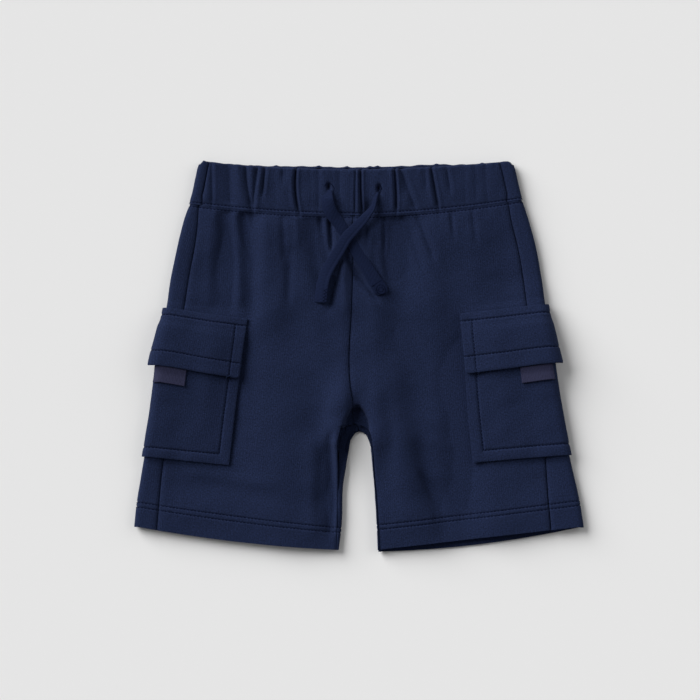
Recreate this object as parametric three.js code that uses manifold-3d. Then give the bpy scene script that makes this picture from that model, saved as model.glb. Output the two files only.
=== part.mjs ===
// A small child's pull-on cargo shorts in navy fleece, laid flat on a table with the front up.
// Millimetres. +Y runs from the hems to the waist, +Z is up off the table. The wearer's right
// leg lies on the -X side and the left leg on the +X side, as a picture of the front shows them.
// Each sewn piece is a closed wall of cloth: an outer grid of points and an inner one.

import * as THREE from "three";
import { mergeVertices } from "three/addons/utils/BufferGeometryUtils.js";
import Module from "manifold-3d";

// Driving dimensions
const CLOTH = 1.6; // one layer of brushed fleece
const HEM = 2.9; // a turned-up leg hem, two layers under the stitching
const BAND = 3.2; // waistband: cloth, elastic, cloth
const FLAP = 2.4; // pocket flap: two layers, turned and pressed
const TAPE = 1.4; // twill tape, doubled
const SEAM_GAP = 0.3; // between pieces that are sewn together or lie on each other
const SIDE_FOLD = 3.5; // how far in from the side the cloth starts to turn under
const INNER_FOLD = 3.3; // the same at the inside of the leg
const FOLD_HEIGHT = 6.6; // from the table to the top of the side fold, with nothing under it
const LEG_HEIGHT = 6.4; // the same at the inside of the leg
const FLAT_HEIGHT = 4.5; // front lying on back, away from the edges
const HEM_HEIGHT = 6.5; // the same at the hem, where each layer is doubled
const BAND_HEIGHT = 7.1; // the same at the waistband
const LEAST_HEIGHT = 3.8; // two layers and the least room between them
const POCKET_STEP = CLOTH + SEAM_GAP; // what the pocket adds to a stack of layers
const FLAP_STEP = FLAP + SEAM_GAP; // what the flap adds
const BAND_TOP = { middle: 140.3, side: 145.4 }; // height of the waistband's top edge
const BAND_TOP_RISE = 1.4; // how far the back of the waistband shows above the front
const BAND_REST = 0.2; // how far the front panels lie below the face of the waistband
const BAND_SLOPE = { from: 58, to: 106 }; // the front rises to the waistband between these heights
const EDGE_SPREAD = 30; // how far in from the side the front comes down to its flat height
const INSIDE_SPREAD = 22; // the same from the inside of the leg
const POCKET_SPREAD = 7; // the same for the back, from the pocket's back edge
const ROUNDING = 0.3; // how much of its thickness a folded edge loses at each corner
const BOX_CENTRE = { x: -0.08, y: -0.97 }; // the middle of the laid garment on the table

// Rows from hem to waist. middle and side are y on the centre line and at the side of the leg,
// bow how far the row bends at half width. The named rows are where pieces start and end.
const ROW = { hem: 0, stitch: 3, pocketFoot: 7, flapFoot: 14, mouth: 16, flapTop: 18, waist: 23 };
const ROWS = {
  right: [
    { middle: -146.2, side: -127.7, bow: -3.3 },
    { middle: -144.8, side: -126.3, bow: -3.3 },
    { middle: -133.9, side: -113.1, bow: -1.9 },
    { middle: -130.4, side: -109.6, bow: -1.6 },
    { middle: -117.0, side: -99.0, bow: -2.0 },
    { middle: -106.0, side: -89.0, bow: -1.4 },
    { middle: -96.0, side: -80.0, bow: -0.7 },
    { middle: -91.0, side: -75.3, bow: -0.6 },
    { middle: -76.0, side: -62.0, bow: -0.6 },
    { middle: -66.0, side: -52.0, bow: -0.8 },
    { middle: -61.0, side: -44.0, bow: -1.0 },
    { middle: -57.2, side: -38.0, bow: -1.2 },
    { middle: -49.0, side: -29.0, bow: -1.2 },
    { middle: -38.0, side: -13.0, bow: -1.0 },
    { middle: -31.0, side: -6.6, bow: -1.0 },
    { middle: -13.0, side: 9.0, bow: -2.0 },
    { middle: 4.0, side: 22.0, bow: -2.6 },
    { middle: 12.0, side: 28.0, bow: -2.8 },
    { middle: 22.5, side: 36.4, bow: -3.0 },
    { middle: 30.0, side: 42.5, bow: -2.8 },
    { middle: 51.0, side: 61.0, bow: -2.5 },
    { middle: 72.0, side: 81.0, bow: -2.2 },
    { middle: 91.0, side: 99.5, bow: -2.0 },
    { middle: 104.8, side: 113.6, bow: -2.0 },
  ],
  left: [
    { middle: -147.2, side: -128.0, bow: 0.2 },
    { middle: -145.8, side: -126.6, bow: 0.2 },
    { middle: -132.1, side: -112.1, bow: -0.3 },
    { middle: -128.6, side: -108.6, bow: -0.4 },
    { middle: -117.0, side: -98.0, bow: 0.0 },
    { middle: -106.0, side: -88.0, bow: 0.5 },
    { middle: -94.5, side: -79.0, bow: 0.9 },
    { middle: -89.5, side: -74.2, bow: 1.0 },
    { middle: -76.0, side: -60.0, bow: 0.8 },
    { middle: -66.0, side: -49.5, bow: 0.4 },
    { middle: -61.0, side: -41.5, bow: 0.0 },
    { middle: -57.2, side: -34.5, bow: 0.0 },
    { middle: -48.6, side: -27.0, bow: 0.0 },
    { middle: -30.0, side: -11.3, bow: -0.6 },
    { middle: -23.0, side: -5.0, bow: -0.6 },
    { middle: -7.0, side: 10.0, bow: -0.6 },
    { middle: 8.0, side: 24.0, bow: -0.6 },
    { middle: 15.5, side: 30.5, bow: -0.6 },
    { middle: 24.5, side: 38.8, bow: -0.6 },
    { middle: 31.0, side: 45.0, bow: -0.8 },
    { middle: 51.0, side: 63.5, bow: -1.2 },
    { middle: 72.0, side: 83.5, bow: -1.6 },
    { middle: 91.0, side: 102.5, bow: -2.0 },
    { middle: 104.7, side: 116.8, bow: -2.2 },
  ],
};

// The back of the left leg hangs lower than its front, so its hem shows below it.
const BACK_HEM_BOW = { right: -3.3, left: -4.6 };

// The outline, measured outwards from the centre line at each height y. edge is where the cloth
// folds round the side, seam the side seam, which lies on the front, and pocket the pocket's
// inner edge, carried on up to the waist and down to the hem.
const OUTLINE = {
  right: [
    { y: -129, edge: 168.7, seam: 151.2, pocket: 102.0 },
    { y: -106, edge: 166.0, seam: 149.3, pocket: 100.0 },
    { y: -78, edge: 161.2, seam: 146.3, pocket: 97.0 },
    { y: -40, edge: 154.6, seam: 141.4, pocket: 92.6 },
    { y: 0, edge: 149.6, seam: 136.0, pocket: 87.4 },
    { y: 36, edge: 144.2, seam: 130.6, pocket: 82.2 },
    { y: 58, edge: 141.0, seam: 127.4, pocket: 80.4 },
    { y: 82, edge: 136.0, seam: 122.8, pocket: 79.0 },
    { y: 100, edge: 131.7, seam: 120.8, pocket: 78.0 },
    { y: 113, edge: 127.6, seam: 119.6, pocket: 77.0 },
    { y: 122, edge: 125.0, seam: 116.6, pocket: 76.5 },
    { y: 134, edge: 122.4, seam: 114.2, pocket: 75.8 },
    { y: 142, edge: 120.4, seam: 112.6, pocket: 75.3 },
    { y: 146, edge: 117.2, seam: 111.4, pocket: 75.0 },
  ],
  left: [
    { y: -129, edge: 168.5, seam: 143.6, pocket: 89.5 },
    { y: -106, edge: 164.9, seam: 141.5, pocket: 87.5 },
    { y: -78, edge: 158.2, seam: 139.4, pocket: 84.9 },
    { y: -40, edge: 150.4, seam: 135.0, pocket: 81.0 },
    { y: 0, edge: 144.2, seam: 129.8, pocket: 78.4 },
    { y: 36, edge: 139.7, seam: 125.6, pocket: 74.6 },
    { y: 58, edge: 136.9, seam: 122.8, pocket: 72.6 },
    { y: 82, edge: 132.4, seam: 118.6, pocket: 70.5 },
    { y: 100, edge: 127.6, seam: 114.2, pocket: 69.0 },
    { y: 116, edge: 122.8, seam: 111.4, pocket: 67.7 },
    { y: 124, edge: 120.6, seam: 110.2, pocket: 67.0 },
    { y: 134, edge: 118.3, seam: 107.8, pocket: 66.3 },
    { y: 142, edge: 116.0, seam: 105.8, pocket: 65.8 },
    { y: 146, edge: 112.8, seam: 104.4, pocket: 65.5 },
  ],
};

// The inner edges, measured outwards from the centre line. front is the front seam above the
// crotch and the inseam below it. under is the back seam above, and below it the inside of the
// leg, where the back panel turns up to meet the front.
const INNER = {
  right: [
    { y: -146, front: 17.0, under: 15.2 },
    { y: -131, front: 16.6, under: 12.9 },
    { y: -117, front: 16.2, under: 12.4 },
    { y: -98, front: 15.8, under: 11.7 },
    { y: -80, front: 15.5, under: 9.2 },
    { y: -71, front: 15.0, under: 7.4 },
    { y: -63.5, front: 14.2, under: 6.0 },
    { y: -60.0, front: 13.6, under: 4.4 },
    { y: -57.0, front: 13.0, under: 0.1 },
    { y: -49, front: 4.8, under: 0.0 },
    { y: -45, front: 4.6, under: 0.2 },
    { y: -28, front: 6.5, under: 0.6 },
    { y: -2, front: 7.7, under: 1.0 },
    { y: 34, front: 6.9, under: 1.4 },
    { y: 75, front: 4.6, under: 1.8 },
    { y: 107, front: 4.6, under: 2.0 },
    { y: 146, front: 2.6, under: 2.0 },
  ],
  left: [
    { y: -146, front: 16.8, under: 14.4 },
    { y: -131, front: 16.2, under: 13.8 },
    { y: -112, front: 15.3, under: 12.9 },
    { y: -99, front: 14.1, under: 11.7 },
    { y: -88, front: 13.1, under: 10.7 },
    { y: -77, front: 12.1, under: 9.4 },
    { y: -70, front: 11.2, under: 7.9 },
    { y: -63.5, front: 10.0, under: 5.8 },
    { y: -60.0, front: 9.2, under: 4.0 },
    { y: -57.0, front: 8.4, under: 0.1 },
    { y: -49, front: -4.4, under: 0.0 },
    { y: -45, front: -4.6, under: -0.2 },
    { y: -28, front: -6.5, under: -0.6 },
    { y: -2, front: -7.7, under: -1.0 },
    { y: 34, front: -6.9, under: -1.4 },
    { y: 75, front: -4.6, under: -1.8 },
    { y: 107, front: -4.6, under: -2.0 },
    { y: 146, front: -2.6, under: -2.0 },
  ],
};
// Between these two heights the back panels turn up to meet the front. room keeps them clear of it.
const CROTCH = { under: -50, legs: -56, room: 2.8 };

// How far the back panel, and the front above it, are lifted by the pocket and flap under them.
const LIFTS = [
  { row: ROW.pocketFoot - 1, back: 0, front: 0.6 },
  { row: ROW.pocketFoot, back: POCKET_STEP, front: POCKET_STEP },
  { row: ROW.flapFoot - 3, back: POCKET_STEP, front: POCKET_STEP + 0.2 },
  { row: ROW.flapFoot - 1, back: POCKET_STEP, front: POCKET_STEP + 1.6 },
  { row: ROW.flapFoot, back: POCKET_STEP + FLAP_STEP, front: POCKET_STEP + FLAP_STEP },
  { row: ROW.mouth, back: POCKET_STEP + FLAP_STEP, front: POCKET_STEP + FLAP_STEP },
  { row: ROW.mouth + 1, back: FLAP_STEP, front: FLAP_STEP + 1.2 },
  { row: ROW.flapTop, back: FLAP_STEP, front: FLAP_STEP },
  { row: ROW.flapTop + 1, back: 0, front: 1.4 },
  { row: ROW.flapTop + 2, back: 0, front: 0 },
];
const FLAP_OVER = [
  { row: ROW.mouth, over: POCKET_STEP },
  { row: ROW.mouth + 1, over: 0 },
];

// Soft folds of the front: a ridge (height above 0) or trough along a straight line.
const FOLDS = [
  { name: "right hip trough", x1: -90, y1: 104, x2: -106, y2: 48, width: 9, height: -1.0 },
  { name: "right hip ridge", x1: -62, y1: 100, x2: -68, y2: 40, width: 15, height: 1.3 },
  { name: "right fly trough", x1: -34, y1: 98, x2: -30, y2: 58, width: 9, height: -0.7 },
  { name: "left fly ridge", x1: 12, y1: 92, x2: 14, y2: 40, width: 13, height: 1.0 },
  { name: "left hip trough", x1: 36, y1: 100, x2: 33, y2: 56, width: 9, height: -0.8 },
  { name: "left hip ridge", x1: 62, y1: 104, x2: 58, y2: 46, width: 16, height: 1.2 },
  { name: "right thigh ridge", x1: -56, y1: -40, x2: -60, y2: -118, width: 22, height: 1.3 },
  { name: "right inner trough", x1: -24, y1: -74, x2: -26, y2: -122, width: 8, height: -1.1 },
  { name: "left knee ridge", x1: 34, y1: -66, x2: 48, y2: -124, width: 13, height: 1.5 },
  { name: "left knee trough", x1: 46, y1: -74, x2: 62, y2: -122, width: 7, height: -1.2 },
  { name: "crotch hollow", x1: -2, y1: -38, x2: 0, y2: -58, width: 8, height: -1.0 },
  { name: "right crotch ridge", x1: -17, y1: -38, x2: -22, y2: -60, width: 7, height: 1.1 },
  { name: "left crotch ridge", x1: 13, y1: -34, x2: 16, y2: -60, width: 7, height: 1.1 },
  { name: "left thigh ridge", x1: 92, y1: -96, x2: 104, y2: -122, width: 14, height: 0.9 },
];

// Gathers of the waistband: narrow creases from its top edge to its stitching.
const GATHERS = {
  front: [
    { top: -111.0, foot: -110.5, width: 1.6, depth: 0.5 },
    { top: -84.0, foot: -83.0, width: 3.0, depth: 1.0 },
    { top: -77.0, foot: -79.0, width: 1.8, depth: 0.6 },
    { top: -70.2, foot: -72.5, width: 1.6, depth: 0.5 },
    { top: -46.5, foot: -44.2, width: 2.2, depth: 1.0 },
    { top: -30.0, foot: -28.5, width: 2.4, depth: 0.5 },
    { top: -8.0, foot: -8.5, width: 2.0, depth: 0.5 },
    { top: 1.8, foot: 1.5, width: 2.0, depth: 0.9 },
    { top: 26.6, foot: 27.4, width: 2.2, depth: 1.0 },
    { top: 30.5, foot: 42.0, width: 2.4, depth: 0.7 },
    { top: 54.0, foot: 60.0, width: 2.2, depth: 0.9 },
    { top: 73.5, foot: 75.5, width: 2.4, depth: 0.5 },
    { top: 92.0, foot: 96.0, width: 2.6, depth: 0.4 },
  ],
  back: { count: 22, depth: 0.8, width: 2.4, slant: 2.5 },
};
const GATHER_SWELL = 0.35; // how far the cloth swells between gathers

// The drawstring's two free ends, a flat tube of the same cloth. Points chosen by hand.
const DRAWSTRING = { width: 9, thick: 2, sides: 10 };
const DRAWSTRING_ROUTES = {
  drawstring_left: [
    [14.6, 122.8, 9.7],
    [12.9, 118.5, 9.9],
    [10.3, 110.5, 10.2],
    [6.4, 105.4, 10.3],
    [2.2, 100.4, 10.4],
    [-4.0, 93.8, 10.7],
    [-9.8, 87.3, 10.7],
    [-15.0, 78.2, 10.0],
    [-20.2, 69.8, 8.4],
    [-24.6, 61.8, 7.6],
    [-26.8, 54.0, 7.4],
    [-28.0, 44.4, 7.3],
    [-28.1, 39.0, 7.3],
  ],
  drawstring_right: [
    [-22.8, 124.3, 9.6],
    [-23.6, 117.0, 9.5],
    [-21.5, 108.2, 9.2],
    [-15.0, 99.0, 8.3],
    [-9.1, 89.8, 7.9],
    [-2.6, 78.9, 7.6],
    [2.6, 71.0, 7.4],
    [7.7, 62.7, 7.4],
    [12.2, 55.5, 7.4],
    [16.3, 49.0, 7.4],
    [17.6, 45.0, 7.4],
  ],
};
const BUTTONHOLES = [
  { x: 15.0, y: 126.2 },
  { x: -22.8, y: 126.8 },
];
const BUTTONHOLE = { width: 2.4, length: 5.5, depth: 1.4 };

// Twill-tape pulls under the flaps: near and far are distances outwards from the centre line.
const TABS = {
  right: { near: 128.6, far: 150.8, length: 12.6 },
  left: { near: 120.2, far: 143.0, length: 12.2 },
};

const TAB_TURN = 0.25; // how much of the side fold a tab may go round
const TAB_LIFT = 0.1; // more room between a tab and the pocket than at a seam

const SIGN = { right: -1, left: 1 };
const COLOUR = { fleece: 0x1f2941, tape: 0x352f48 };
const FINISH = { roughness: 0.92, metalness: 0 };

// Small helpers
const mix = (a, b, t) => a + (b - a) * t;
const clamp = (t) => Math.min(1, Math.max(0, t));
const smooth = (from, to, value) => {
  const t = clamp((value - from) / (to - from));
  return t * t * (3 - 2 * t);
};

// One column of a table at a value of its first column, on a smooth curve through the rows.
function column(table, along, key, at) {
  const last = table.length - 1;
  const value = Math.min(table[last][along], Math.max(table[0][along], at));
  let i = 0;
  while (i < last - 1 && value > table[i + 1][along]) i += 1;
  const slope = (k) => {
    const a = table[Math.max(0, k - 1)];
    const b = table[Math.min(last, k + 1)];
    return (b[key] - a[key]) / (b[along] - a[along]);
  };
  const chord = (table[i + 1][key] - table[i][key]) / (table[i + 1][along] - table[i][along]);
  const tame = (s) => (s * chord <= 0 ? 0 : Math.sign(chord) * Math.min(Math.abs(s), 3 * Math.abs(chord)));
  const span = table[i + 1][along] - table[i][along];
  const t = (value - table[i][along]) / span;
  const [m0, m1] = [tame(slope(i)) * span, tame(slope(i + 1)) * span];
  return (
    (2 * t ** 3 - 3 * t ** 2 + 1) * table[i][key] +
    (t ** 3 - 2 * t ** 2 + t) * m0 +
    (3 * t ** 2 - 2 * t ** 3) * table[i + 1][key] +
    (t ** 3 - t ** 2) * m1
  );
}

// A column of a table, with a soft step between its rows.
function stepped(table, key, row) {
  const next = table.findIndex((entry) => entry.row >= row);
  if (next === 0) return table[0][key];
  if (next < 0) return table[table.length - 1][key];
  const [a, b] = [table[next - 1], table[next]];
  return mix(a[key], b[key], smooth(a.row, b.row, row));
}

const outline = (side, key, y) => column(OUTLINE[side], "y", key, y);
const inner = (side, key, y) => column(INNER[side], "y", key, y);
// The pocket is centred on the side seam, so its back edge is as far from the seam as its front one.
const backPocket = (side, y) =>
  2 * (outline(side, "edge", y) - outline(side, "seam", y)) + outline(side, "pocket", y);
const fullness = (y) => smooth(CROTCH.under, CROTCH.legs, y); // 0 at the hips, 1 down the legs

// Height of a row at a distance out from the centre line.
function rowHeight(side, row, out, bowShift) {
  const i = Math.min(ROWS[side].length - 2, Math.floor(row));
  const [a, b, t] = [ROWS[side][i], ROWS[side][i + 1], row - i];
  const share = out / outline(side, "edge", mix(a.side, b.side, t));
  const bow = mix(a.bow, b.bow, t) + bowShift;
  return mix(mix(a.middle, b.middle, t), mix(a.side, b.side, t), share) + bow * 4 * share * (1 - share);
}

// The back of the left leg is longer, and less so from row to row up to the hem stitching.
const backBow = (side, row) =>
  (BACK_HEM_BOW[side] - ROWS[side][0].bow) * (1 - clamp(row / (ROW.stitch + 2)));

function foldHeight(x, y) {
  return FOLDS.reduce((sum, f) => {
    const [dx, dy] = [f.x2 - f.x1, f.y2 - f.y1];
    const length = Math.hypot(dx, dy);
    const along = ((x - f.x1) * dx + (y - f.y1) * dy) / length;
    const aside = ((x - f.x1) * dy - (y - f.y1) * dx) / length;
    const ends = Math.max(0, -along, along - length) / (1.6 * f.width);
    return sum + f.height * Math.exp(-((aside / f.width) ** 2) - ends ** 2);
  }, 0);
}

// Height of the outer face of the back panel over the table.
function backZ(side, row, out, y) {
  const pocketEdge = backPocket(side, y);
  return stepped(LIFTS, "back", row) * smooth(pocketEdge - POCKET_SPREAD, pocketEdge, out);
}

// Height of the outer face of the front over the table.
function frontZ(side, row, out, y) {
  const fromEdge = outline(side, "edge", y) - out;
  const fromInside = out - inner(side, "under", y);
  const hem = 1 - smooth(ROW.stitch, ROW.stitch + 2, row);
  const waist = smooth(BAND_SLOPE.from, BAND_SLOPE.to, y);
  const top = BAND_HEIGHT - BAND_REST;
  const flat = mix(mix(FLAT_HEIGHT, HEM_HEIGHT, hem), top, waist);
  const folds = foldHeight(SIGN[side] * out, y) * smooth(SIDE_FOLD, INSIDE_SPREAD, fromEdge);
  const open = Math.max(mix(LEAST_HEIGHT, HEM_HEIGHT, hem), flat + folds * (1 - hem / 2));
  const nearInside = 1 - smooth(INNER_FOLD, INSIDE_SPREAD, fromInside);
  const atLeg = mix(open, LEG_HEIGHT, fullness(y) * nearInside);
  const atEdge = mix(mix(FOLD_HEIGHT, top, waist), atLeg, smooth(SIDE_FOLD, EDGE_SPREAD, fromEdge));
  const over = smooth(outline(side, "pocket", y), backPocket(side, y), out);
  return atEdge + stepped(LIFTS, "front", row) * over;
}

// A point on the outer face of the leg and hip panels. place counts along a row: 0 the front's
// inner edge, 1 the pocket's edge, 2 the side seam, 3 and 4 the top and foot of the side fold,
// 5 the pocket's back edge, 6 where the back lies flat again, 7 the foot of the inner fold,
// 8 the inside of the leg, and 9 the inseam. Returns out, y and z.
const PLACE = {
  inner: 0,
  pocket: 1,
  seam: 2,
  foldTop: 3,
  foldFoot: 4,
  backPocket: 5,
  flat: 6,
  inside: 7,
  inseam: 9,
};
function body(side, row, place) {
  const atFold = (y) => outline(side, "edge", y) - SIDE_FOLD;
  const stations = [
    (y) => inner(side, "front", y) + SEAM_GAP / 2,
    (y) => outline(side, "pocket", y),
    (y) => outline(side, "seam", y),
    atFold,
    atFold,
    (y) => backPocket(side, y),
    (y) => backPocket(side, y) - POCKET_SPREAD,
    (y) => inner(side, "under", y) + INNER_FOLD,
    (y) => inner(side, "under", y) + INNER_FOLD / 2,
    (y) => inner(side, "under", y) + SEAM_GAP / 2,
  ];
  const onBack = place > PLACE.foldTop;
  const hanging = onBack ? clamp(2 * (place - PLACE.foldTop)) * clamp(2 * (PLACE.inseam - place)) : 0;
  const bowShift = backBow(side, row) * hanging;
  const i = Math.min(stations.length - 2, Math.floor(place));
  const t = place - i;
  let y = ROWS[side][Math.round(row)].side;
  let out = 0;
  for (let pass = 0; pass < 6; pass += 1) {
    out = mix(stations[i](y), stations[i + 1](y), t);
    y = rowHeight(side, row, out, bowShift);
  }
  const atInseam = place === PLACE.inseam && fullness(y) === 1;
  const atSeam = place === PLACE.inner || place === PLACE.seam || atInseam;
  if (!onBack) return { out, y, z: frontZ(side, row, out, y), atSeam };
  if (place < PLACE.foldFoot) {
    const turn = (0.5 - t) * Math.PI;
    const fold = outline(side, "edge", y) - SIDE_FOLD;
    const [top, foot] = [frontZ(side, row, fold, y), backZ(side, row, fold, y)];
    return { out: fold + SIDE_FOLD * Math.cos(turn), y, z: mix(foot, top, (1 + Math.sin(turn)) / 2) };
  }
  const flat = { out, y, z: backZ(side, row, out, y) };
  if (place <= PLACE.inside) return flat;
  // The inner fold of the leg turns the back panel up to the inseam, which lies on the front.
  const inside = inner(side, "under", y);
  const room = CROTCH.room * smooth(CROTCH.legs - 5, CROTCH.legs - 1.5, y);
  const seam = inner(side, "front", y) - SEAM_GAP / 2 - room;
  const top = frontZ(side, row, seam, y);
  const turn = ((place - PLACE.inside - 1) * Math.PI) / 2;
  const reach = turn < 0 ? INNER_FOLD : seam - inside;
  const folded = {
    out: inside + reach * (1 - Math.cos(turn)),
    z: (top / 2) * (1 + Math.sin(turn)),
  };
  return { out: mix(flat.out, folded.out, fullness(y)), y, z: mix(flat.z, folded.z, fullness(y)), atSeam };
}

// Each point of a row with the direction that faces out of the cloth there.
function withNormals(points) {
  return points.map((p, i) => {
    const a = points[Math.max(0, i - 1)];
    const b = points[Math.min(points.length - 1, i + 1)];
    const [dOut, dZ] = [b.out - a.out, b.z - a.z];
    const length = Math.hypot(dOut, dZ);
    if (p.atSeam) return { ...p, nOut: 0, nZ: 1 };
    return { ...p, nOut: -dZ / length, nZ: dOut / length };
  });
}

// A closed wall between two grids of points of the same size, outer[row][column] and inner.
function wall(outer, inner, flip) {
  const [rows, columns] = [outer.length, outer[0].length];
  const positions = [...outer.flat(), ...inner.flat()].flatMap((p) => [p.x, p.y, p.z]);
  const o = (i, j) => i * columns + j;
  const n = (i, j) => rows * columns + i * columns + j;
  const faces = [];
  const quad = (a, b, c, d) => (flip ? faces.push(a, c, b, a, d, c) : faces.push(a, b, c, a, c, d));
  for (let i = 0; i < rows - 1; i += 1) {
    for (let j = 0; j < columns - 1; j += 1) {
      quad(o(i, j), o(i, j + 1), o(i + 1, j + 1), o(i + 1, j));
      quad(n(i, j), n(i + 1, j), n(i + 1, j + 1), n(i, j + 1));
    }
    quad(o(i + 1, 0), n(i + 1, 0), n(i, 0), o(i, 0));
    quad(o(i, columns - 1), n(i, columns - 1), n(i + 1, columns - 1), o(i + 1, columns - 1));
  }
  for (let j = 0; j < columns - 1; j += 1) {
    quad(o(0, j), n(0, j), n(0, j + 1), o(0, j + 1));
    quad(o(rows - 1, j + 1), n(rows - 1, j + 1), n(rows - 1, j), o(rows - 1, j));
  }
  const geometry = new THREE.BufferGeometry();
  geometry.setAttribute("position", new THREE.Float32BufferAttribute(positions, 3));
  geometry.setIndex(faces);
  geometry.computeVertexNormals();
  return geometry;
}

// A wall whose outer and inner faces lie at two heights over the body's outer face.
function clothOver(side, rows, places, heights) {
  const x = SIGN[side];
  const grids = [[], []];
  rows.forEach((row, i) => {
    const line = withNormals(places.map((place) => body(side, row, place)));
    line.forEach((p, j) => {
      heights(row, places[j], i, j).forEach((height, face) => {
        (grids[face][i] ??= []).push({
          x: x * (p.out + p.nOut * height),
          y: p.y,
          z: p.z + p.nZ * height,
        });
      });
    });
  });
  return wall(grids[0], grids[1], x < 0);
}

// Evenly spaced steps from one value to another, both included.
const steps = (from, to, count) => Array.from({ length: count + 1 }, (_, i) => mix(from, to, i / count));
const joined = (...lists) => lists.flatMap((list, i) => (i ? list.slice(1) : list));

// The panels of the legs and hips
const PANEL_ROWS = steps(ROW.hem, ROW.waist, ROW.waist);
const FRONT_PLACES = joined(
  steps(PLACE.inner, PLACE.pocket, 8),
  steps(PLACE.pocket, PLACE.seam, 4),
);
const WRAP_PLACES = joined(
  steps(PLACE.seam, PLACE.foldTop, 1),
  steps(PLACE.foldTop, PLACE.foldFoot, 4),
  steps(PLACE.foldFoot, PLACE.backPocket, 2),
);
const BACK_PLACES = joined(
  WRAP_PLACES,
  steps(PLACE.backPocket, PLACE.flat, 1),
  steps(PLACE.flat, PLACE.inside, 5),
  steps(PLACE.inside, PLACE.inseam, 4),
);
const thickness = (row, place) => {
  const hem = 1 - smooth(ROW.stitch, ROW.stitch + 1, row);
  const onFold = place > PLACE.seam && (place <= PLACE.foldFoot || place > PLACE.inside);
  return onFold ? mix(CLOTH, 0.6 * HEM, hem) : mix(CLOTH, HEM, hem);
};
// The hem is a fold, so its lowest row is drawn together to a rounded edge.
const panelFaces = (row, place) => {
  const thick = thickness(row, place);
  const round = row === ROW.hem ? ROUNDING * thick : 0;
  return [place > PLACE.foldTop ? 0 : -round, -thick + round];
};
function panel(side, places) {
  const geometry = clothOver(side, PANEL_ROWS, places, panelFaces);
  // The edge at the side seam is drawn back, so that the two panels stay apart there.
  const shift = (places[0] === PLACE.inner ? -1 : 1) * (SEAM_GAP / 2);
  const positions = geometry.getAttribute("position");
  const seamColumn = places.indexOf(PLACE.seam);
  for (let i = seamColumn; i < positions.count; i += places.length)
    positions.setX(i, positions.getX(i) + SIGN[side] * shift);
  return geometry;
}

// The pockets and flaps, wrapped round the side on the panel's own points
const POCKET_PLACES = joined(steps(PLACE.pocket, PLACE.seam, 4), WRAP_PLACES);
const POCKET_ROWS = steps(ROW.pocketFoot, ROW.mouth, ROW.mouth - ROW.pocketFoot);
const pocket = (side) =>
  clothOver(side, POCKET_ROWS, POCKET_PLACES, () => [SEAM_GAP + CLOTH, SEAM_GAP]);

const FLAP_ROWS = steps(ROW.flapFoot, ROW.flapTop, 4);
const flap = (side) =>
  clothOver(side, FLAP_ROWS, POCKET_PLACES, (row) => {
    const under = SEAM_GAP + stepped(FLAP_OVER, "over", row);
    return [under + FLAP, under];
  });

// A twill-tape pull lies on the pocket just under the flap's edge.
function tab(side) {
  const { near, far, length } = TABS[side];
  const foot = ROWS[side][ROW.flapFoot].side;
  const rowAt = (drop) => {
    const y = foot - drop;
    const i = ROWS[side].findIndex((r) => r.side > y) - 1;
    return i + (y - ROWS[side][i].side) / (ROWS[side][i + 1].side - ROWS[side][i].side);
  };
  const placeAt = (out, y) => {
    const [pocketEdge, seam] = [outline(side, "pocket", y), outline(side, "seam", y)];
    const fold = outline(side, "edge", y) - SIDE_FOLD;
    if (out <= seam) return PLACE.pocket + (out - pocketEdge) / (seam - pocketEdge);
    return PLACE.seam + Math.min(1 + TAB_TURN, (out - seam) / (fold - seam));
  };
  const rows = [length, length / 2, SEAM_GAP].map(rowAt);
  const places = steps(near, far, 6).map((out) => placeAt(out, foot));
  const under = SEAM_GAP + POCKET_STEP + TAB_LIFT;
  return clothOver(side, rows, places, () => [under + TAPE, under]);
}

// The waistband: a folded casing over elastic, in a front and a back strip sewn at the sides
const bandRows = [0, 0.28, 0.64, 0.93, 1];
function gatherDepth(creases, x, share) {
  return creases.reduce((sum, g) => {
    const away = (x - mix(g.foot, g.top, share)) / g.width;
    return sum + g.depth * Math.exp(-(away ** 2));
  }, 0);
}
const backGathers = Array.from({ length: GATHERS.back.count }, (_, i) => {
  const { count, depth, width, slant } = GATHERS.back;
  const uneven = Math.sin(i * 2.4) + Math.sin(i * 5.1);
  const foot = mix(-112, 108, (i + 0.5 + 0.2 * uneven) / count);
  const top = foot + slant * Math.sin(i * 3.7);
  return { foot, top, width, depth: depth * (0.65 + 0.25 * Math.sin(i * 1.9)) };
});

// Height of the band's top edge. The back strip shows a little above the front one.
function bandTop(side, out, back) {
  const share = Math.min(1, out / outline(side, "edge", 134));
  const dip = mix(BAND_TOP.middle, BAND_TOP.side, share ** 2);
  return dip + (back ? BAND_TOP_RISE * clamp(2 - 2.2 * share) : 0);
}

// Stations across the band: side, how far out at a height y, and the turn round the side fold,
// from a quarter turn on top to minus a quarter beneath.
const ON_TOP = Math.PI / 2;
const BENEATH = -Math.PI / 2;
const seamStation = (side, shift) => ({
  side,
  turn: ON_TOP,
  atSeam: true,
  out: (y) => outline(side, "seam", y) + shift,
});
const foldStation = (side, turn) => ({
  side,
  turn,
  out: (y) => outline(side, "edge", y) - SIDE_FOLD * (1 - Math.cos(turn)),
});
const acrossStation = (share, turn, reach) => {
  const side = share < 0 ? "right" : "left";
  return { side, turn, out: (y) => Math.abs(share) * reach(side, y) };
};

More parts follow.
